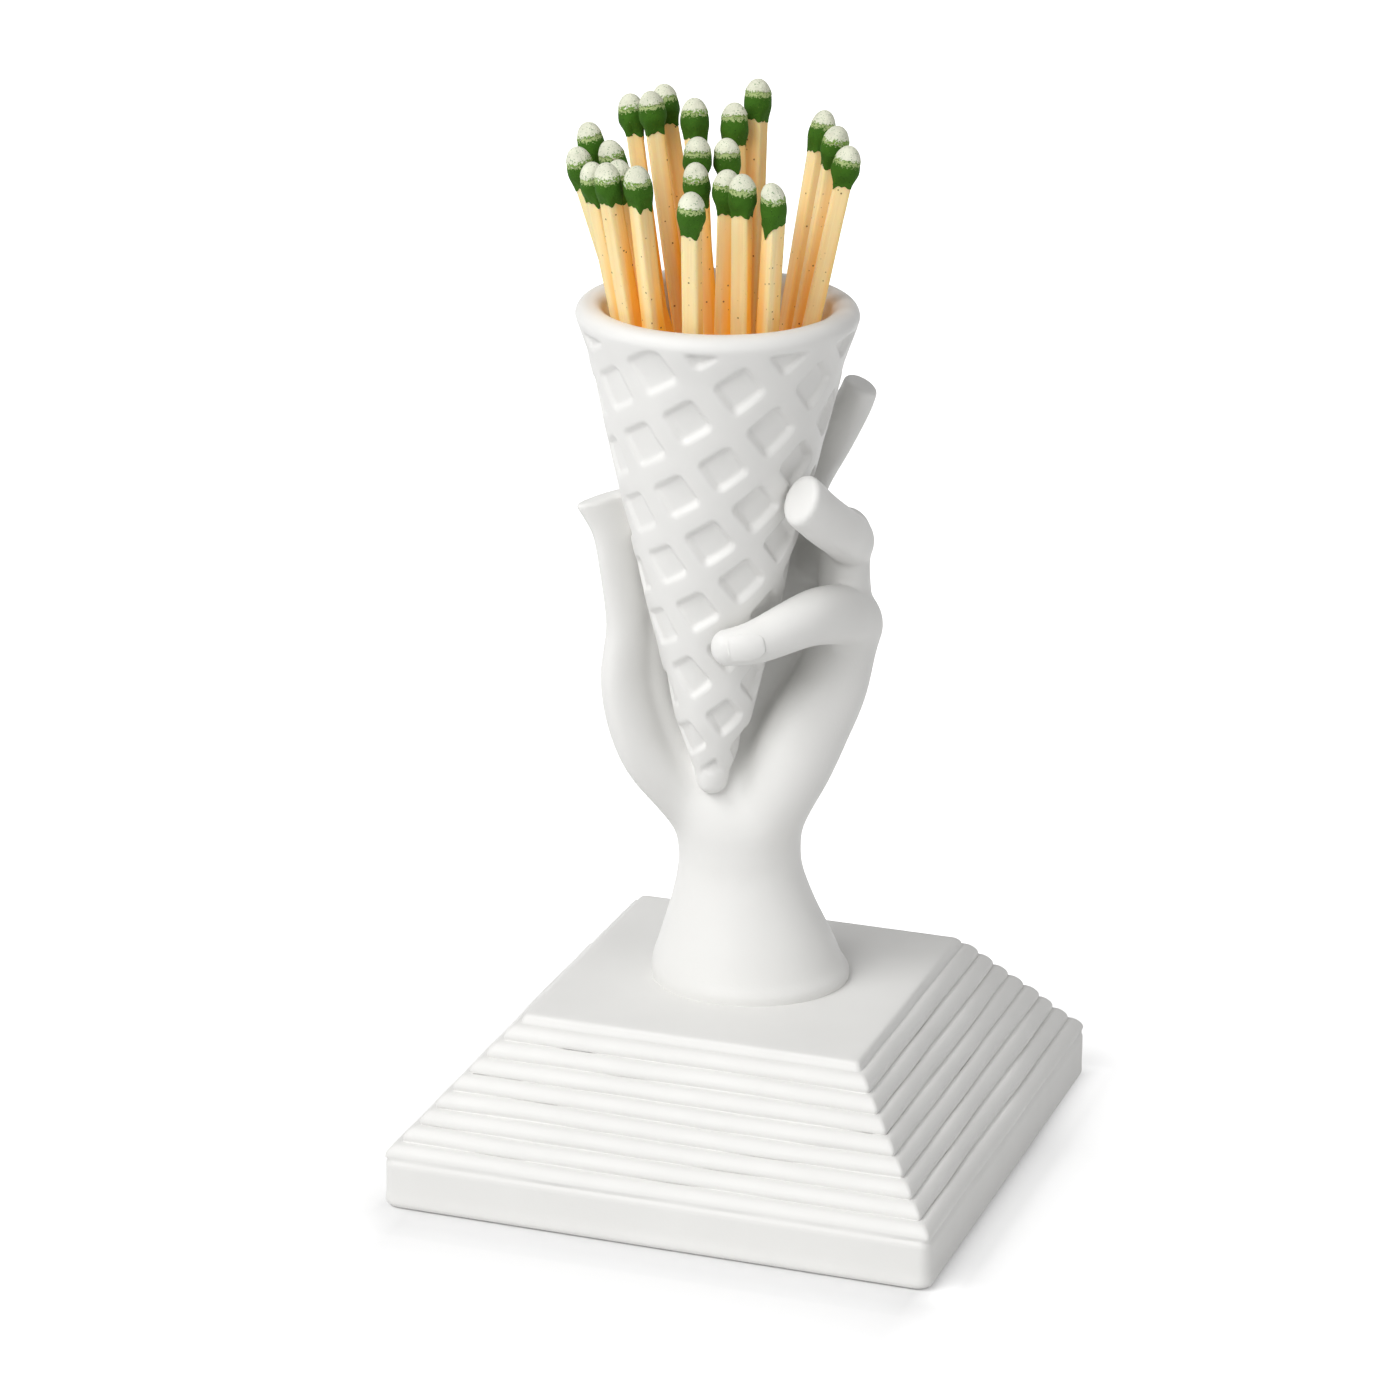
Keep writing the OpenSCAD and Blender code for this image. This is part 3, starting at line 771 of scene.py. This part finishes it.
# Box that holds the hand, and how far the thumb's inner side draws in, as a share
HAND_LOW, HAND_HIGH = np.array([-26.0, -21, 22.6]), np.array([21.0, 21, 112])
THUMB_SCOOP = 0.6
LIMB_SAMPLES = 56
# Distances over this are not worked out
FAR = 9.0
# The hand's core lies this far inside the cone's wall, and its fillet stands out up to this far
CORE_INSET = 0.9
FILLET_REACH = 1.1
# Fine steps in a step of the coarse grid, then how points settle on the surface
COARSE = 4
SETTLE_ROUNDS = 3
SETTLE_STEP = 0.05
SETTLE_LIMIT = 0.3


def smooth_min(a, b, k):
    """The smaller of two distances, less k h h h / 6, where h falls from 1 where they are
    alike to 0 where they differ by k."""
    h = np.maximum(1 - np.abs(a - b) / k, 0)
    return np.minimum(a, b) - h * h * h * (k / 6)


def limb_frames(stations, axis):
    """Centre, direction, width and thickness directions and half sizes along a limb."""
    here = curve(stations, np.linspace(0, len(stations) - 1, LIMB_SAMPLES))
    centre = here[:, :3]
    along = unit(np.gradient(centre, axis=0))
    outward = centre - np.array([axis[0], axis[1], 0])
    outward[:, 2] = 0
    across = unit(np.cross(along, unit(outward)))
    out = np.cross(across, along)
    roll = np.radians(here[:, 5:6])
    wide = across * np.cos(roll) + out * np.sin(roll)
    thick = out * np.cos(roll) - across * np.sin(roll)
    return np.concatenate([centre, along, wide, thick, here[:, 3:5]], 1)


def frames_at(frames, at):
    """The frames at places along a limb, between its samples."""
    i = np.minimum(at.astype(int), LIMB_SAMPLES - 2)
    return frames[i] + (frames[i + 1] - frames[i]) * (at - i)[..., None]


def ellipse_size(u, v, w, a, b, c):
    """How large an ellipse goes through a place, 1 for half sizes a, b and c, and how fast that
    grows outwards. The place is given as shares of the half sizes."""
    q = np.sqrt(u * u + v * v + w * w) + 1e-6
    return q, np.sqrt((u / a) ** 2 + (v / b) ** 2 + (w / c) ** 2) / q + 1e-6


def limb_distance(points, stations, axis, scoop=0.0):
    """About the distance to a limb: the nearest place on its middle line gives an ellipse, and
    how far the point lies out of that ellipse is divided by the gradient there. A scoop draws
    the side that faces the cone in."""
    frames = limb_frames(stations, axis)
    centre = frames[:, :3]
    reach = frames[:, 12:].max() + FAR
    near = np.all((points > centre.min(0) - reach) & (points < centre.max(0) + reach), axis=1)
    found = np.full(len(points), FAR)
    p = points[near]
    square = (p * p).sum(1)[:, None] - 2 * p @ centre.T + (centre * centre).sum(1)
    k = square.argmin(1)
    spacing = np.linalg.norm(np.gradient(centre, axis=0), axis=1)
    shift = ((p - centre[k]) * frames[k, 3:6]).sum(1) / spacing[k]
    at = np.clip(k + np.clip(shift, -1, 1), 0, LIMB_SAMPLES - 1)
    f = frames_at(frames, at)
    rel = p - f[:, :3]
    a, b = f[:, 12], f[:, 13]
    u = (rel * f[:, 6:9]).sum(1) / a
    v = (rel * f[:, 9:12]).sum(1) / b
    w = (rel * f[:, 3:6]).sum(1) / b
    q, slope = ellipse_size(u, v, w, a, b, b)
    side = np.where(v < 0, v * v / (q * q), 0)
    found[near] = (q - 1 + scoop * side) / slope
    return np.minimum(found, FAR)


def arm_distance(points):
    """About the distance to the arm and the palm's plate: level ellipses that change with the
    height, closed above by a dome."""
    s = curve(ARM, np.linspace(0, len(ARM) - 1, 240))
    z = points[:, 2]
    x, y, a, b = [np.interp(z, s[:, 2], s[:, k]) for k in (0, 1, 3, 4)]
    u, v = (points[:, 0] - x) / a, (points[:, 1] - y) / b
    w = np.maximum(z - s[-1, 2], 0) / s[-1, 4]
    q, slope = ellipse_size(u, v, w, a, b, s[-1, 4])
    return np.maximum((q - 1) / slope, s[0, 2] - z)


def cone_distance(points, cone):
    """Distance to the cone's outer wall."""
    share = math.atan(cone.slope)
    r = np.hypot(points[:, 0] + cone.left, points[:, 1] + cone.front)
    tip_z = tip_height(cone)
    wall = (r - cone.rim_r) * math.cos(share)
    wall = wall + (cone.rim_z - points[:, 2]) * math.sin(share)
    tip = np.hypot(r, points[:, 2] - tip_z) - cone.tip_r
    return np.where(points[:, 2] > tip_z, wall, tip)


def cut_flat(distance, points, end):
    """A limb's distance, cut by the plane through a point, with a rounded edge."""
    place, direction, edge = end
    plane = (points - place) @ unit(np.array(direction, float))
    return -smooth_min(-distance, -plane, edge)


def hand_distance(points, hand, cone):
    """About the distance to the arm and hand: pads and fingers joined with rounded creases,
    and a small fillet where they meet the cone."""
    axis = [-cone.left, -cone.front]
    palm = smooth_min(arm_distance(points), limb_distance(points, HEEL, axis), hand.palm_blend)
    thumb = cut_flat(limb_distance(points, THUMB, axis, THUMB_SCOOP), points, THUMB_END)
    ring = cut_flat(limb_distance(points, RING, axis), points, RING_END)
    middle = cut_flat(limb_distance(points, MIDDLE, axis), points, MIDDLE_END)
    palm = smooth_min(palm, thumb, hand.palm_blend)
    fingers = smooth_min(middle, ring, hand.crease)
    for stations in (INDEX, LITTLE, KNUCKLES):
        fingers = smooth_min(fingers, limb_distance(points, stations, axis), hand.crease)
    whole = smooth_min(palm, fingers, hand.finger_blend)
    core = cone_distance(points, cone) + CORE_INSET
    return np.maximum(smooth_min(whole, core, hand.fillet), whole - FILLET_REACH)


def sample_field(field, low, step, shape):
    """A distance field on a grid: worked out on every fourth point first, and in full only
    where the surface is near."""
    coarse = [n // COARSE + 1 for n in shape]
    axes = [low[k] + step * COARSE * np.arange(coarse[k]) for k in range(3)]
    points = np.stack(np.meshgrid(*axes, indexing="ij"), -1).reshape(-1, 3)
    rough = field(points).reshape(coarse)
    whole = rough.repeat(COARSE, 0).repeat(COARSE, 1).repeat(COARSE, 2)
    whole = whole[:shape[0], :shape[1], :shape[2]].copy()
    near = np.argwhere(np.abs(whole) < 2.2 * COARSE * step)
    whole[tuple(near.T)] = field(low + near * step)
    return whole


def surface_net(values, low, step):
    """Quads round the zero level of a field on a grid. Each cell that the surface crosses gets
    a point at the mean of its crossed edges, and each crossed edge a quad of its four cells."""
    shape = values.shape
    cells = np.prod([n - 1 for n in shape])
    total, count = np.zeros((cells, 3)), np.zeros(cells)
    quads = []
    for axis in range(3):
        first = np.take(values, range(shape[axis] - 1), axis)
        second = np.take(values, range(1, shape[axis]), axis)
        crossed = np.argwhere((first < 0) != (second < 0))
        a, b = first[tuple(crossed.T)], second[tuple(crossed.T)]
        point = crossed.astype(float)
        point[:, axis] += a / (a - b)
        others = [k for k in range(3) if k != axis]
        corners = []
        for shift in ((0, 0), (1, 0), (1, 1), (0, 1)):
            cell = crossed.copy()
            cell[:, others[0]] -= shift[0]
            cell[:, others[1]] -= shift[1]
            flat = np.ravel_multi_index(cell.T, [n - 1 for n in shape], mode="clip")
            corners.append(flat)
            count += np.bincount(flat, minlength=cells)
            for k in range(3):
                total[:, k] += np.bincount(flat, point[:, k], cells)
        quad = np.stack(corners, -1)
        turned = (a < 0) != (axis == 1)
        quads.append(np.where(turned[:, None], quad, quad[:, ::-1]))
    used = np.flatnonzero(count)
    index = np.full(cells, -1)
    index[used] = np.arange(len(used))
    points = low + total[used] / count[used, None] * step
    return points, index[np.concatenate(quads)]


def settle(points, field, step):
    """Moves points onto the surface along the field's gradient."""
    for _ in range(SETTLE_ROUNDS):
        value = field(points)
        slope = np.stack([field(points + step * np.eye(3)[k]) - value for k in range(3)], -1) / step
        square = np.maximum((slope * slope).sum(1), 0.2)
        move = slope * (value / square)[:, None]
        points = points - np.clip(move, -SETTLE_LIMIT, SETTLE_LIMIT)
    return points


def hand_surface(hand, cone):
    """The arm and hand as one closed surface."""
    def field(points):
        return hand_distance(points, hand, cone)

    step = hand.fineness
    shape = np.ceil((HAND_HIGH - HAND_LOW) / step).astype(int) + 1
    values = sample_field(field, HAND_LOW, step, shape)
    points, quads = surface_net(values, HAND_LOW, step)
    points = settle(points, field, SETTLE_STEP)
    return onto_base(points, hand), quads.tolist()


# The little finger's nail: its start and end as shares of the finger, its half angle round the
# finger and its middle angle in degrees, its rise over the skin, how far its edge and its
# underside lie within the skin, and its count of points each way
NAIL = [0.75, 1.04, 44, 80]
NAIL_RISE = 0.22
NAIL_EDGE = 0.25
NAIL_ROOT = 0.6
NAIL_POINTS = 44


def nail_surface(hand, cone):
    """A plate over the little finger: the finger's own surface raised by a rise that falls off
    towards a rounded rectangle's edge, closed by a copy that lies under the skin."""
    frames = limb_frames(LITTLE, [-cone.left, -cone.front])
    start, end, reach, middle = NAIL
    line = np.linspace(-1, 1, NAIL_POINTS)
    s, t = np.meshgrid(line, line, indexing="ij")
    s, t = s * np.sqrt(1 - 0.45 * t * t), t * np.sqrt(1 - 0.45 * s * s)
    place = (start + (end - start) * (s + 1) / 2) * (LIMB_SAMPLES - 1)
    inside = np.clip(place, 0, LIMB_SAMPLES - 1.001)
    f = frames_at(frames, inside)
    spacing = np.linalg.norm(frames[-1, :3] - frames[-2, :3])
    dome = np.clip((place - inside)[..., None] * spacing / f[..., 13:14], 0, 0.95)
    shrink = np.sqrt(1 - dome ** 2)
    edge = 1 - np.maximum(np.abs(s), np.abs(t)) ** 3
    a = np.radians(middle + reach * t)[..., None]
    sheets = []
    raised = -NAIL_EDGE + (NAIL_EDGE + NAIL_RISE) * ease(edge * 4 + 0.1)
    for lift in (raised, 0 * edge - NAIL_ROOT):
        wide = (f[..., 12:13] * shrink + lift[..., None]) * np.cos(a)
        thick = (f[..., 13:14] * shrink + lift[..., None]) * np.sin(a)
        centre = f[..., :3] + f[..., 3:6] * dome * f[..., 13:14]
        sheets.append(centre + f[..., 6:9] * wide + f[..., 9:12] * thick)
    under = NAIL_POINTS * NAIL_POINTS
    sheet = np.arange(under).reshape(NAIL_POINTS, NAIL_POINTS)
    top = np.stack([sheet[:-1, :-1], sheet[1:, :-1], sheet[1:, 1:], sheet[:-1, 1:]], -1)
    top = top.reshape(-1, 4)
    rim = np.concatenate([sheet[0, :-1], sheet[:-1, -1], sheet[-1, :0:-1], sheet[:0:-1, 0]])
    following = np.roll(rim, -1)
    wall = np.stack([rim, following, following + under, rim + under], -1)
    faces = np.concatenate([top, top[:, ::-1] + under, wall])
    points = np.concatenate([sheets[0].reshape(-1, 3), sheets[1].reshape(-1, 3)])
    return onto_base(points, hand), faces.tolist()


# The matches. Each follows its own stick in the frame.

Stick = namedtuple("Stick", "foot along side other half span")
MATCH_NODES = sorted(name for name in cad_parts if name.startswith("stick_"))
STICK_COLUMNS = 40
HEAD_COLUMNS = 48
# The pale tip starts this far over the stick's end, and the head's top lies this far in
TIP_START = 0.6
TOP_INSET = 0.03
# One head is bent, with a long run of compound on one side
DROOPING = 22
DROOP = 0.55
DROOP_TOWARDS = [-0.95, -0.33, 0]
DRIP = 1.9
DRIP_TOWARDS = [-0.56, -0.83, 0]
# The side away from the main lamp, where the wood gets more painted shade
SHADED_SIDE = np.array([0.95, 0.33, 0])
# How far out of a stick its painted shade is tested, and the height where it starts, over a span
SHADE_PROBE = 2.0
SHADE_TOP = 136.0
SHADE_SPAN = 22.0
# A stick's surface waves by this much and lies this far in; its end is narrower by a share
STICK_WAVE = 0.028
STICK_INSET = 0.02
STICK_END = 0.07
# The grain's map moves on by this much for each pair of faces, and in metres for each stick
FACE_SHIFT = [3, 9]
GRAIN_SHIFT = [0.013, 0.041]
# A head leans aside by at most half of this
HEAD_LEAN = 0.22


def stick_frame(node):
    """A stick's foot, direction, two side directions, half width and length, from its corners."""
    corners = np.unique(np.round(mesh_points(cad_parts[node].data), 3), axis=0)
    middle = corners.mean(0)
    along = np.linalg.svd(corners - middle)[2][0]
    along = along * np.sign(along[2])
    reach = (corners - middle) @ along
    foot_corners = corners[reach < 0]
    foot = foot_corners.mean(0)
    spokes = foot_corners - foot
    first = spokes[0]
    second = min(spokes[1:], key=lambda v: abs(v @ first))
    side = unit(first + second)
    other = np.cross(along, side)
    return Stick(foot, along, side, other, np.abs(spokes @ side).max(), 2 * reach.max())


def matches():
    """Number, node and stick of each match."""
    return [(index, node, stick_frame(node)) for index, node in enumerate(MATCH_NODES, 1)]


def square_radius(a, half, corner):
    """Distance from the middle of a square with softened corners, at the angle a."""
    power = 2 + 2.2 / (corner + 0.05)
    c, d = np.abs(np.cos(a)), np.abs(np.sin(a))
    return half / (c ** power + d ** power) ** (1 / power)


def along_match(points, at):
    """Points given as side, side and along, carried to a match's own place."""
    aside = points[..., 0:1] * at.side
    return at.foot + aside + points[..., 1:2] * at.other + points[..., 2:3] * at.along


def stick_surface(index, at, s):
    """A square section with softened corners carried along the stick, a little uneven."""
    a = round_angles(STICK_COLUMNS)
    z = np.concatenate([[0, 0.05], np.linspace(0.2, at.span - 0.1, 44), [at.span]])[:, None]
    r = square_radius(a, at.half, s.edge) * (1 - STICK_END * (z < 0.02))
    uneven = STICK_WAVE * ripple(z * 1.1 + 20 * np.cos(a), 11 * np.sin(a), index)
    r = r + uneven - STICK_INSET
    grid = np.stack([r * np.cos(a), r * np.sin(a), np.broadcast_to(z, r.shape)], -1)
    return closed_surface(along_match(grid, at))


def painted_stick_shade(points, at, sticks):
    """Painted shade on a stick's wood, from 0 to 1, where bounce light and shade would fall. How
    near the next stick is: each point is moved out from its own stick's middle line, and the value
    grows as its distance to the next middle line falls from 4.6 mm to 1.6 mm. It counts more
    towards the cup. The side away from the main lamp gets more painted shade too."""
    own = at.foot + ((points - at.foot) @ at.along)[:, None] * at.along
    out = unit(points - own)
    probe = points + out * SHADE_PROBE
    near = np.full(len(points), 99.0)
    for other in sticks:
        if other is not at:
            rel = probe - other.foot
            aside = rel - (rel @ other.along)[:, None] * other.along
            near = np.minimum(near, np.linalg.norm(aside, axis=1))
    low = ease((SHADE_TOP - points[:, 2]) / SHADE_SPAN)
    unlit = ease((out @ SHADED_SIDE - 0.25) / 0.6) * (0.3 + 0.3 * low)
    return ease((4.6 - near) / 3) * (0.3 + 0.4 * low) + 0.15 * low + unlit


def add_grain_map(piece, at, index):
    """A map in metres: round the stick and along it, moved on for each stick."""
    mesh = piece.data
    layer = mesh.uv_layers.new(name="grain")
    rel = mesh_points(mesh) - at.foot
    loops = np.empty(len(mesh.loops), int)
    mesh.loops.foreach_get("vertex_index", loops)
    x, y, z = rel @ at.side, rel @ at.other, rel @ at.along
    face = np.where(np.abs(x) > np.abs(y), y + np.sign(x) * FACE_SHIFT[0],
                    x + np.sign(y) * FACE_SHIFT[1])
    uv = np.stack([face * MM + GRAIN_SHIFT[0] * index, z * MM + GRAIN_SHIFT[1] * index], -1)[loops]
    layer.data.foreach_set("uv", uv.ravel().astype(np.float32))


def turn_towards(direction, at):
    """Angle round a match at which its side faces a direction."""
    return math.atan2(np.dot(direction, at.other), np.dot(direction, at.side))


def head_axis(t, index, at):
    """How far a head's middle leans aside at each share t of its length. One head is bent."""
    lean, turn = HEAD_LEAN * (scatter(index, 5) - 0.5), 6.28 * scatter(index, 6)
    if index == DROOPING:
        lean, turn = DROOP, turn_towards(DROOP_TOWARDS, at)
    return lean * t ** 1.6 * math.cos(turn), lean * t ** 1.6 * math.sin(turn)


def head_shape(t, a, index, at, s):
    """Radius of a head at share t of its length and angle a. It starts as a skin on the square
    stick, swells to its full width at two fifths and closes in a dome."""
    full = s.head_r * (0.95 + 0.1 * scatter(index, 1))
    skin = square_radius(a, at.half, s.edge) + 0.07
    grown = skin + (full - skin) * ease(t / 0.38)
    dome = np.sqrt(np.clip(1 - np.clip((t - 0.4) / 0.6, 0, 1) ** 2.1, 0, 1))
    uneven = ripple(9 * np.cos(a) + 14 * t, 9 * np.sin(a) - 11 * t, index * 0.7)
    return (grown + uneven * s.waviness * ease(t / 0.2)) * dome


def head_rows(t, a, low, index, at, s, out=0.0):
    """Points of a head at angles a, for shares t of the way from its lower edge to its top. The
    lower edge stands low over its even place."""
    t, a = np.broadcast_arrays(t, a)
    top = at.span + TIP_START + s.tip_l - TOP_INSET
    base = top - s.head_l
    z = base + (top - base) * t + low * (1 - t) ** 2
    r = head_shape(t, a, index, at, s) + out
    x, y = head_axis(t, index, at)
    return np.stack([r * np.cos(a) + x, r * np.sin(a) + y, z], -1)


def border_share(points, at):
    """1 where the green meets the pale tip, falling to 0 at 1 mm from there along the match."""
    line = at.span + TIP_START - TOP_INSET
    return 1 - ease(np.abs((points - at.foot) @ at.along - line))


def drips(a, index, at):
    """Lower edge of the dipped compound round the head: it runs down the stick's corners in
    points, each corner by its own amount."""
    edge = 0.28 * np.sin(a + 6.28 * scatter(index, 9)) + 0.1 * np.sin(9 * a + 2.3 * index)
    for k in range(4):
        turn = math.pi * (0.25 + 0.5 * k) + 0.5 * (scatter(index, 11 + k) - 0.5)
        far = np.abs(wrap(a - turn))
        edge = edge - (0.1 + 0.75 * scatter(index, 15 + k) ** 2) * np.exp(-((far / 0.3) ** 1.4))
    if index == DROOPING:
        away = wrap(a - turn_towards(DRIP_TOWARDS, at))
        edge = edge - DRIP * np.exp(-((away / 0.4) ** 2))
    return edge


def head_surface(index, at, s):
    """Rings from inside the stick's skin, out over the lower edge and up to the top."""
    a = round_angles(HEAD_COLUMNS)
    t = np.concatenate([[0], np.linspace(0.015, 0.9, 34), [0.95, 0.98, 0.995]])[:, None]
    grid = head_rows(t, a, drips(a, index, at), index, at, s)
    middle = grid[0].mean(0)
    tuck = grid[0] + (middle - grid[0]) * 0.3
    return closed_surface(along_match(np.concatenate([tuck[None], grid]), at))


def tip_surface(index, at, s):
    """A cap over the top of a head, a little proud of it, with a crumbly lower edge."""
    a = round_angles(HEAD_COLUMNS)
    start = 1 - s.tip_l / s.head_l - 0.015
    wavy = 0.02 * np.sin(3 * a + index) + 0.014 * np.sin(7 * a + 2.1 * index)
    wavy = wavy + 0.012 * np.sin(13 * a + 0.7 * index) + 0.05 * np.sin(a + 2.4 * index)
    share = np.concatenate([np.linspace(0, 0.93, 24), [0.97, 0.99]])[:, None]
    t = start + wavy + (1 - start - wavy) * share
    proud = 0.09 * ease(share / 0.1) - 0.02
    cap = head_rows(t, a, 0, index, at, s, proud)
    under = head_rows(t[:1] + 0.03, a, 0, index, at, s, -0.25)
    return closed_surface(along_match(np.concatenate([under, cap]), at))


# Operators: one for each piece or group of like pieces, and one for the stage

def add_porcelain(scene, name, surface):
    """A piece of the porcelain body from the points and faces of its surface."""
    material = shared_material("bisque_porcelain", porcelain_material, scene.striker_colours)
    make_object(name, *surface, material, "porcelain", ["striker_body"])


class STRIKER_OT_base(bpy.types.Operator):
    """Builds the ridged porcelain base"""
    bl_idname = "striker.base"
    bl_label = "Ridged base"

    def execute(self, context):
        scene = context.scene
        add_porcelain(scene, "ridged_base", base_surface(in_mm(scene.striker_base)))
        return {"FINISHED"}


class STRIKER_OT_cone(bpy.types.Operator):
    """Builds the waffle cone cup"""
    bl_idname = "striker.cone"
    bl_label = "Waffle cone cup"

    def execute(self, context):
        scene = context.scene
        cone, hand = in_mm(scene.striker_cone), in_mm(scene.striker_hand)
        add_porcelain(scene, "waffle_cone_cup", cone_surface(cone, hand))
        return {"FINISHED"}


class STRIKER_OT_hand(bpy.types.Operator):
    """Builds the arm and the hand with its nail"""
    bl_idname = "striker.hand"
    bl_label = "Arm and hand"

    def execute(self, context):
        scene = context.scene
        cone, hand = in_mm(scene.striker_cone), in_mm(scene.striker_hand)
        add_porcelain(scene, "arm_and_hand", hand_surface(hand, cone))
        add_porcelain(scene, "little_finger_nail", nail_surface(hand, cone))
        return {"FINISHED"}


class STRIKER_OT_sticks(bpy.types.Operator):
    """Builds the wooden sticks of the matches"""
    bl_idname = "striker.sticks"
    bl_label = "Match sticks"

    def execute(self, context):
        scene = context.scene
        material = shared_material("sawn_wood", wood_material, scene.striker_colours)
        sizes, all_matches = in_mm(scene.striker_match), matches()
        sticks = [at for _, _, at in all_matches]
        for index, node, at in all_matches:
            points, faces = stick_surface(index, at, sizes)
            # The painted shade mark: where the wood takes its painted shade and painted light
            marks = {"painted_shade": painted_stick_shade(points, at, sticks)}
            piece = make_object("wood_" + node, points, faces, material, "match_wood",
                                [node], marks)
            add_grain_map(piece, at, index)
        return {"FINISHED"}


class STRIKER_OT_heads(bpy.types.Operator):
    """Builds the green heads of the matches"""
    bl_idname = "striker.heads"
    bl_label = "Match heads"

    def execute(self, context):
        scene = context.scene
        green = scene.striker_colours.green
        material = shared_material("green_compound", compound_material, green,
                                   opaque(green, GREEN_SPECK_SHARE), GREEN_DUST, *GREEN_CRUST)
        sizes = in_mm(scene.striker_match)
        for index, node, at in matches():
            points, faces = head_surface(index, at, sizes)
            name = node.replace("stick", "head")
            make_object("green_" + name, points, faces, material, "match_head", [name],
                        {"border": border_share(points, at)})
        return {"FINISHED"}


class STRIKER_OT_tips(bpy.types.Operator):
    """Builds the pale tips of the match heads"""
    bl_idname = "striker.tips"
    bl_label = "Match tips"

    def execute(self, context):
        scene = context.scene
        pale = scene.striker_colours.pale
        material = shared_material("pale_compound", compound_material, pale,
                                   PALE_SPECK, PALE_DUST, *PALE_CRUST)
        sizes = in_mm(scene.striker_match)
        points, faces, borders, count = [], [], [], 0
        for index, _, at in matches():
            cap, cap_faces = tip_surface(index, at, sizes)
            points.append(cap)
            borders.append(border_share(cap, at))
            faces += [[v + count for v in face] for face in cap_faces]
            count += len(cap)
        make_object("pale_tips", np.concatenate(points), faces, material, "match_tip",
                    ["match_tips"], {"border": np.concatenate(borders)})
        return {"FINISHED"}


# Place and size of each lamp in metres
LAMP_AIM = (0, 0, 0.08)
KEY_LAMP = [(-0.73, -0.7, 1.18), 0.6]
FRONT_LAMP = [(-0.25, -1.19, 0.96), 0.8]
FILL_LAMP = [(1.28, -0.46, 0.7), 1.0]
FLOOR_HALF = 3.0


def add_lamp(name, place, size, power):
    """A square area lamp, its place and size in metres, that faces the lamps' aim."""
    lamp = bpy.data.lights.new(name, "AREA")
    lamp.size, lamp.energy = size, power
    item = add_item(name, lamp)
    item.location = place
    item.rotation_euler = (Vector(LAMP_AIM) - Vector(place)).to_track_quat("-Z", "Y").to_euler()


def add_camera(s):
    """The camera stands back from its aim along its azimuth and elevation."""
    az, el, roll = s.azimuth, s.elevation, s.roll
    back = Vector((math.sin(az) * math.cos(el), -math.cos(az) * math.cos(el), math.sin(el)))
    right = Vector((math.cos(az), math.sin(az), 0))
    up = back.cross(right)
    aim = right * s.aim_right + Vector((0, 0, s.aim_up))
    turned = right * math.cos(roll) + up * math.sin(roll)
    above = up * math.cos(roll) - right * math.sin(roll)
    camera = add_item("camera", bpy.data.cameras.new("camera"))
    basis = Matrix((turned, above, back)).transposed().to_4x4()
    camera.matrix_world = Matrix.Translation(aim + back * s.distance) @ basis
    camera.data.sensor_width = 36
    camera.data.lens = s.lens
    camera.data.clip_start, camera.data.clip_end = 0.05, 20
    bpy.context.scene.camera = camera


def add_floor():
    """The square floor."""
    mesh = bpy.data.meshes.new("floor")
    turns = ((-1, -1), (1, -1), (1, 1), (-1, 1))
    mesh.from_pydata([(FLOOR_HALF * x, FLOOR_HALF * y, 0) for x, y in turns], [], [(0, 1, 2, 3)])
    mesh.materials.append(floor_material("white_floor"))
    floor = add_item("floor", mesh)
    floor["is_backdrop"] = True


def add_world(strength):
    """Even white light all round, at full strength where it is seen directly."""
    world = bpy.data.worlds.new("studio")
    world.use_nodes = True
    tree = world.node_tree
    shown = spread(tree, seen_directly(tree), 0, 1, strength, 1.0)
    feed(tree, tree.nodes["Background"], {"Color": (1, 1, 1, 1), "Strength": shown})
    bpy.context.scene.world = world


class STRIKER_OT_stage(bpy.types.Operator):
    """Builds the floor, the lamps, the even light and the camera"""
    bl_idname = "striker.stage"
    bl_label = "Stage"

    def execute(self, context):
        scene = context.scene
        s = scene.striker_stage
        add_floor()
        add_lamp("key", *KEY_LAMP, s.key)
        add_lamp("front", *FRONT_LAMP, s.front)
        add_lamp("fill", *FILL_LAMP, s.fill)
        add_world(s.world)
        scene.view_settings.view_transform = "Standard"
        add_camera(s)
        return {"FINISHED"}


OPERATORS = [
    STRIKER_OT_stage, STRIKER_OT_base, STRIKER_OT_cone, STRIKER_OT_hand,
    STRIKER_OT_sticks, STRIKER_OT_heads, STRIKER_OT_tips,
]


class STRIKER_PT_panel(bpy.types.Panel):
    """Lists the striker's operators"""
    bl_label = "Match striker"
    bl_idname = "STRIKER_PT_panel"
    bl_space_type = "VIEW_3D"
    bl_region_type = "UI"
    bl_category = "Striker"

    def draw(self, context):
        for operator in OPERATORS:
            self.layout.operator(operator.bl_idname)


def register():
    for group in SETTINGS.values():
        bpy.utils.register_class(group)
    for name, group in SETTINGS.items():
        setattr(bpy.types.Scene, name, PointerProperty(type=group))
    for item in OPERATORS + [STRIKER_PT_panel]:
        bpy.utils.register_class(item)


def unregister():
    for item in [STRIKER_PT_panel] + OPERATORS[::-1]:
        bpy.utils.unregister_class(item)
    for name, group in SETTINGS.items():
        delattr(bpy.types.Scene, name)
        bpy.utils.unregister_class(group)


def main():
    """Builds every piece in order."""
    register()
    bpy.ops.striker.stage()
    bpy.ops.striker.base()
    bpy.ops.striker.cone()
    bpy.ops.striker.hand()
    bpy.ops.striker.sticks()
    bpy.ops.striker.heads()
    bpy.ops.striker.tips()
    boxes = {"cad": CAD_BOX, "visual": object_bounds()}
    plain = {key: [list(corner) for corner in box] for key, box in boxes.items()}


if __name__ == "__main__":
    main()
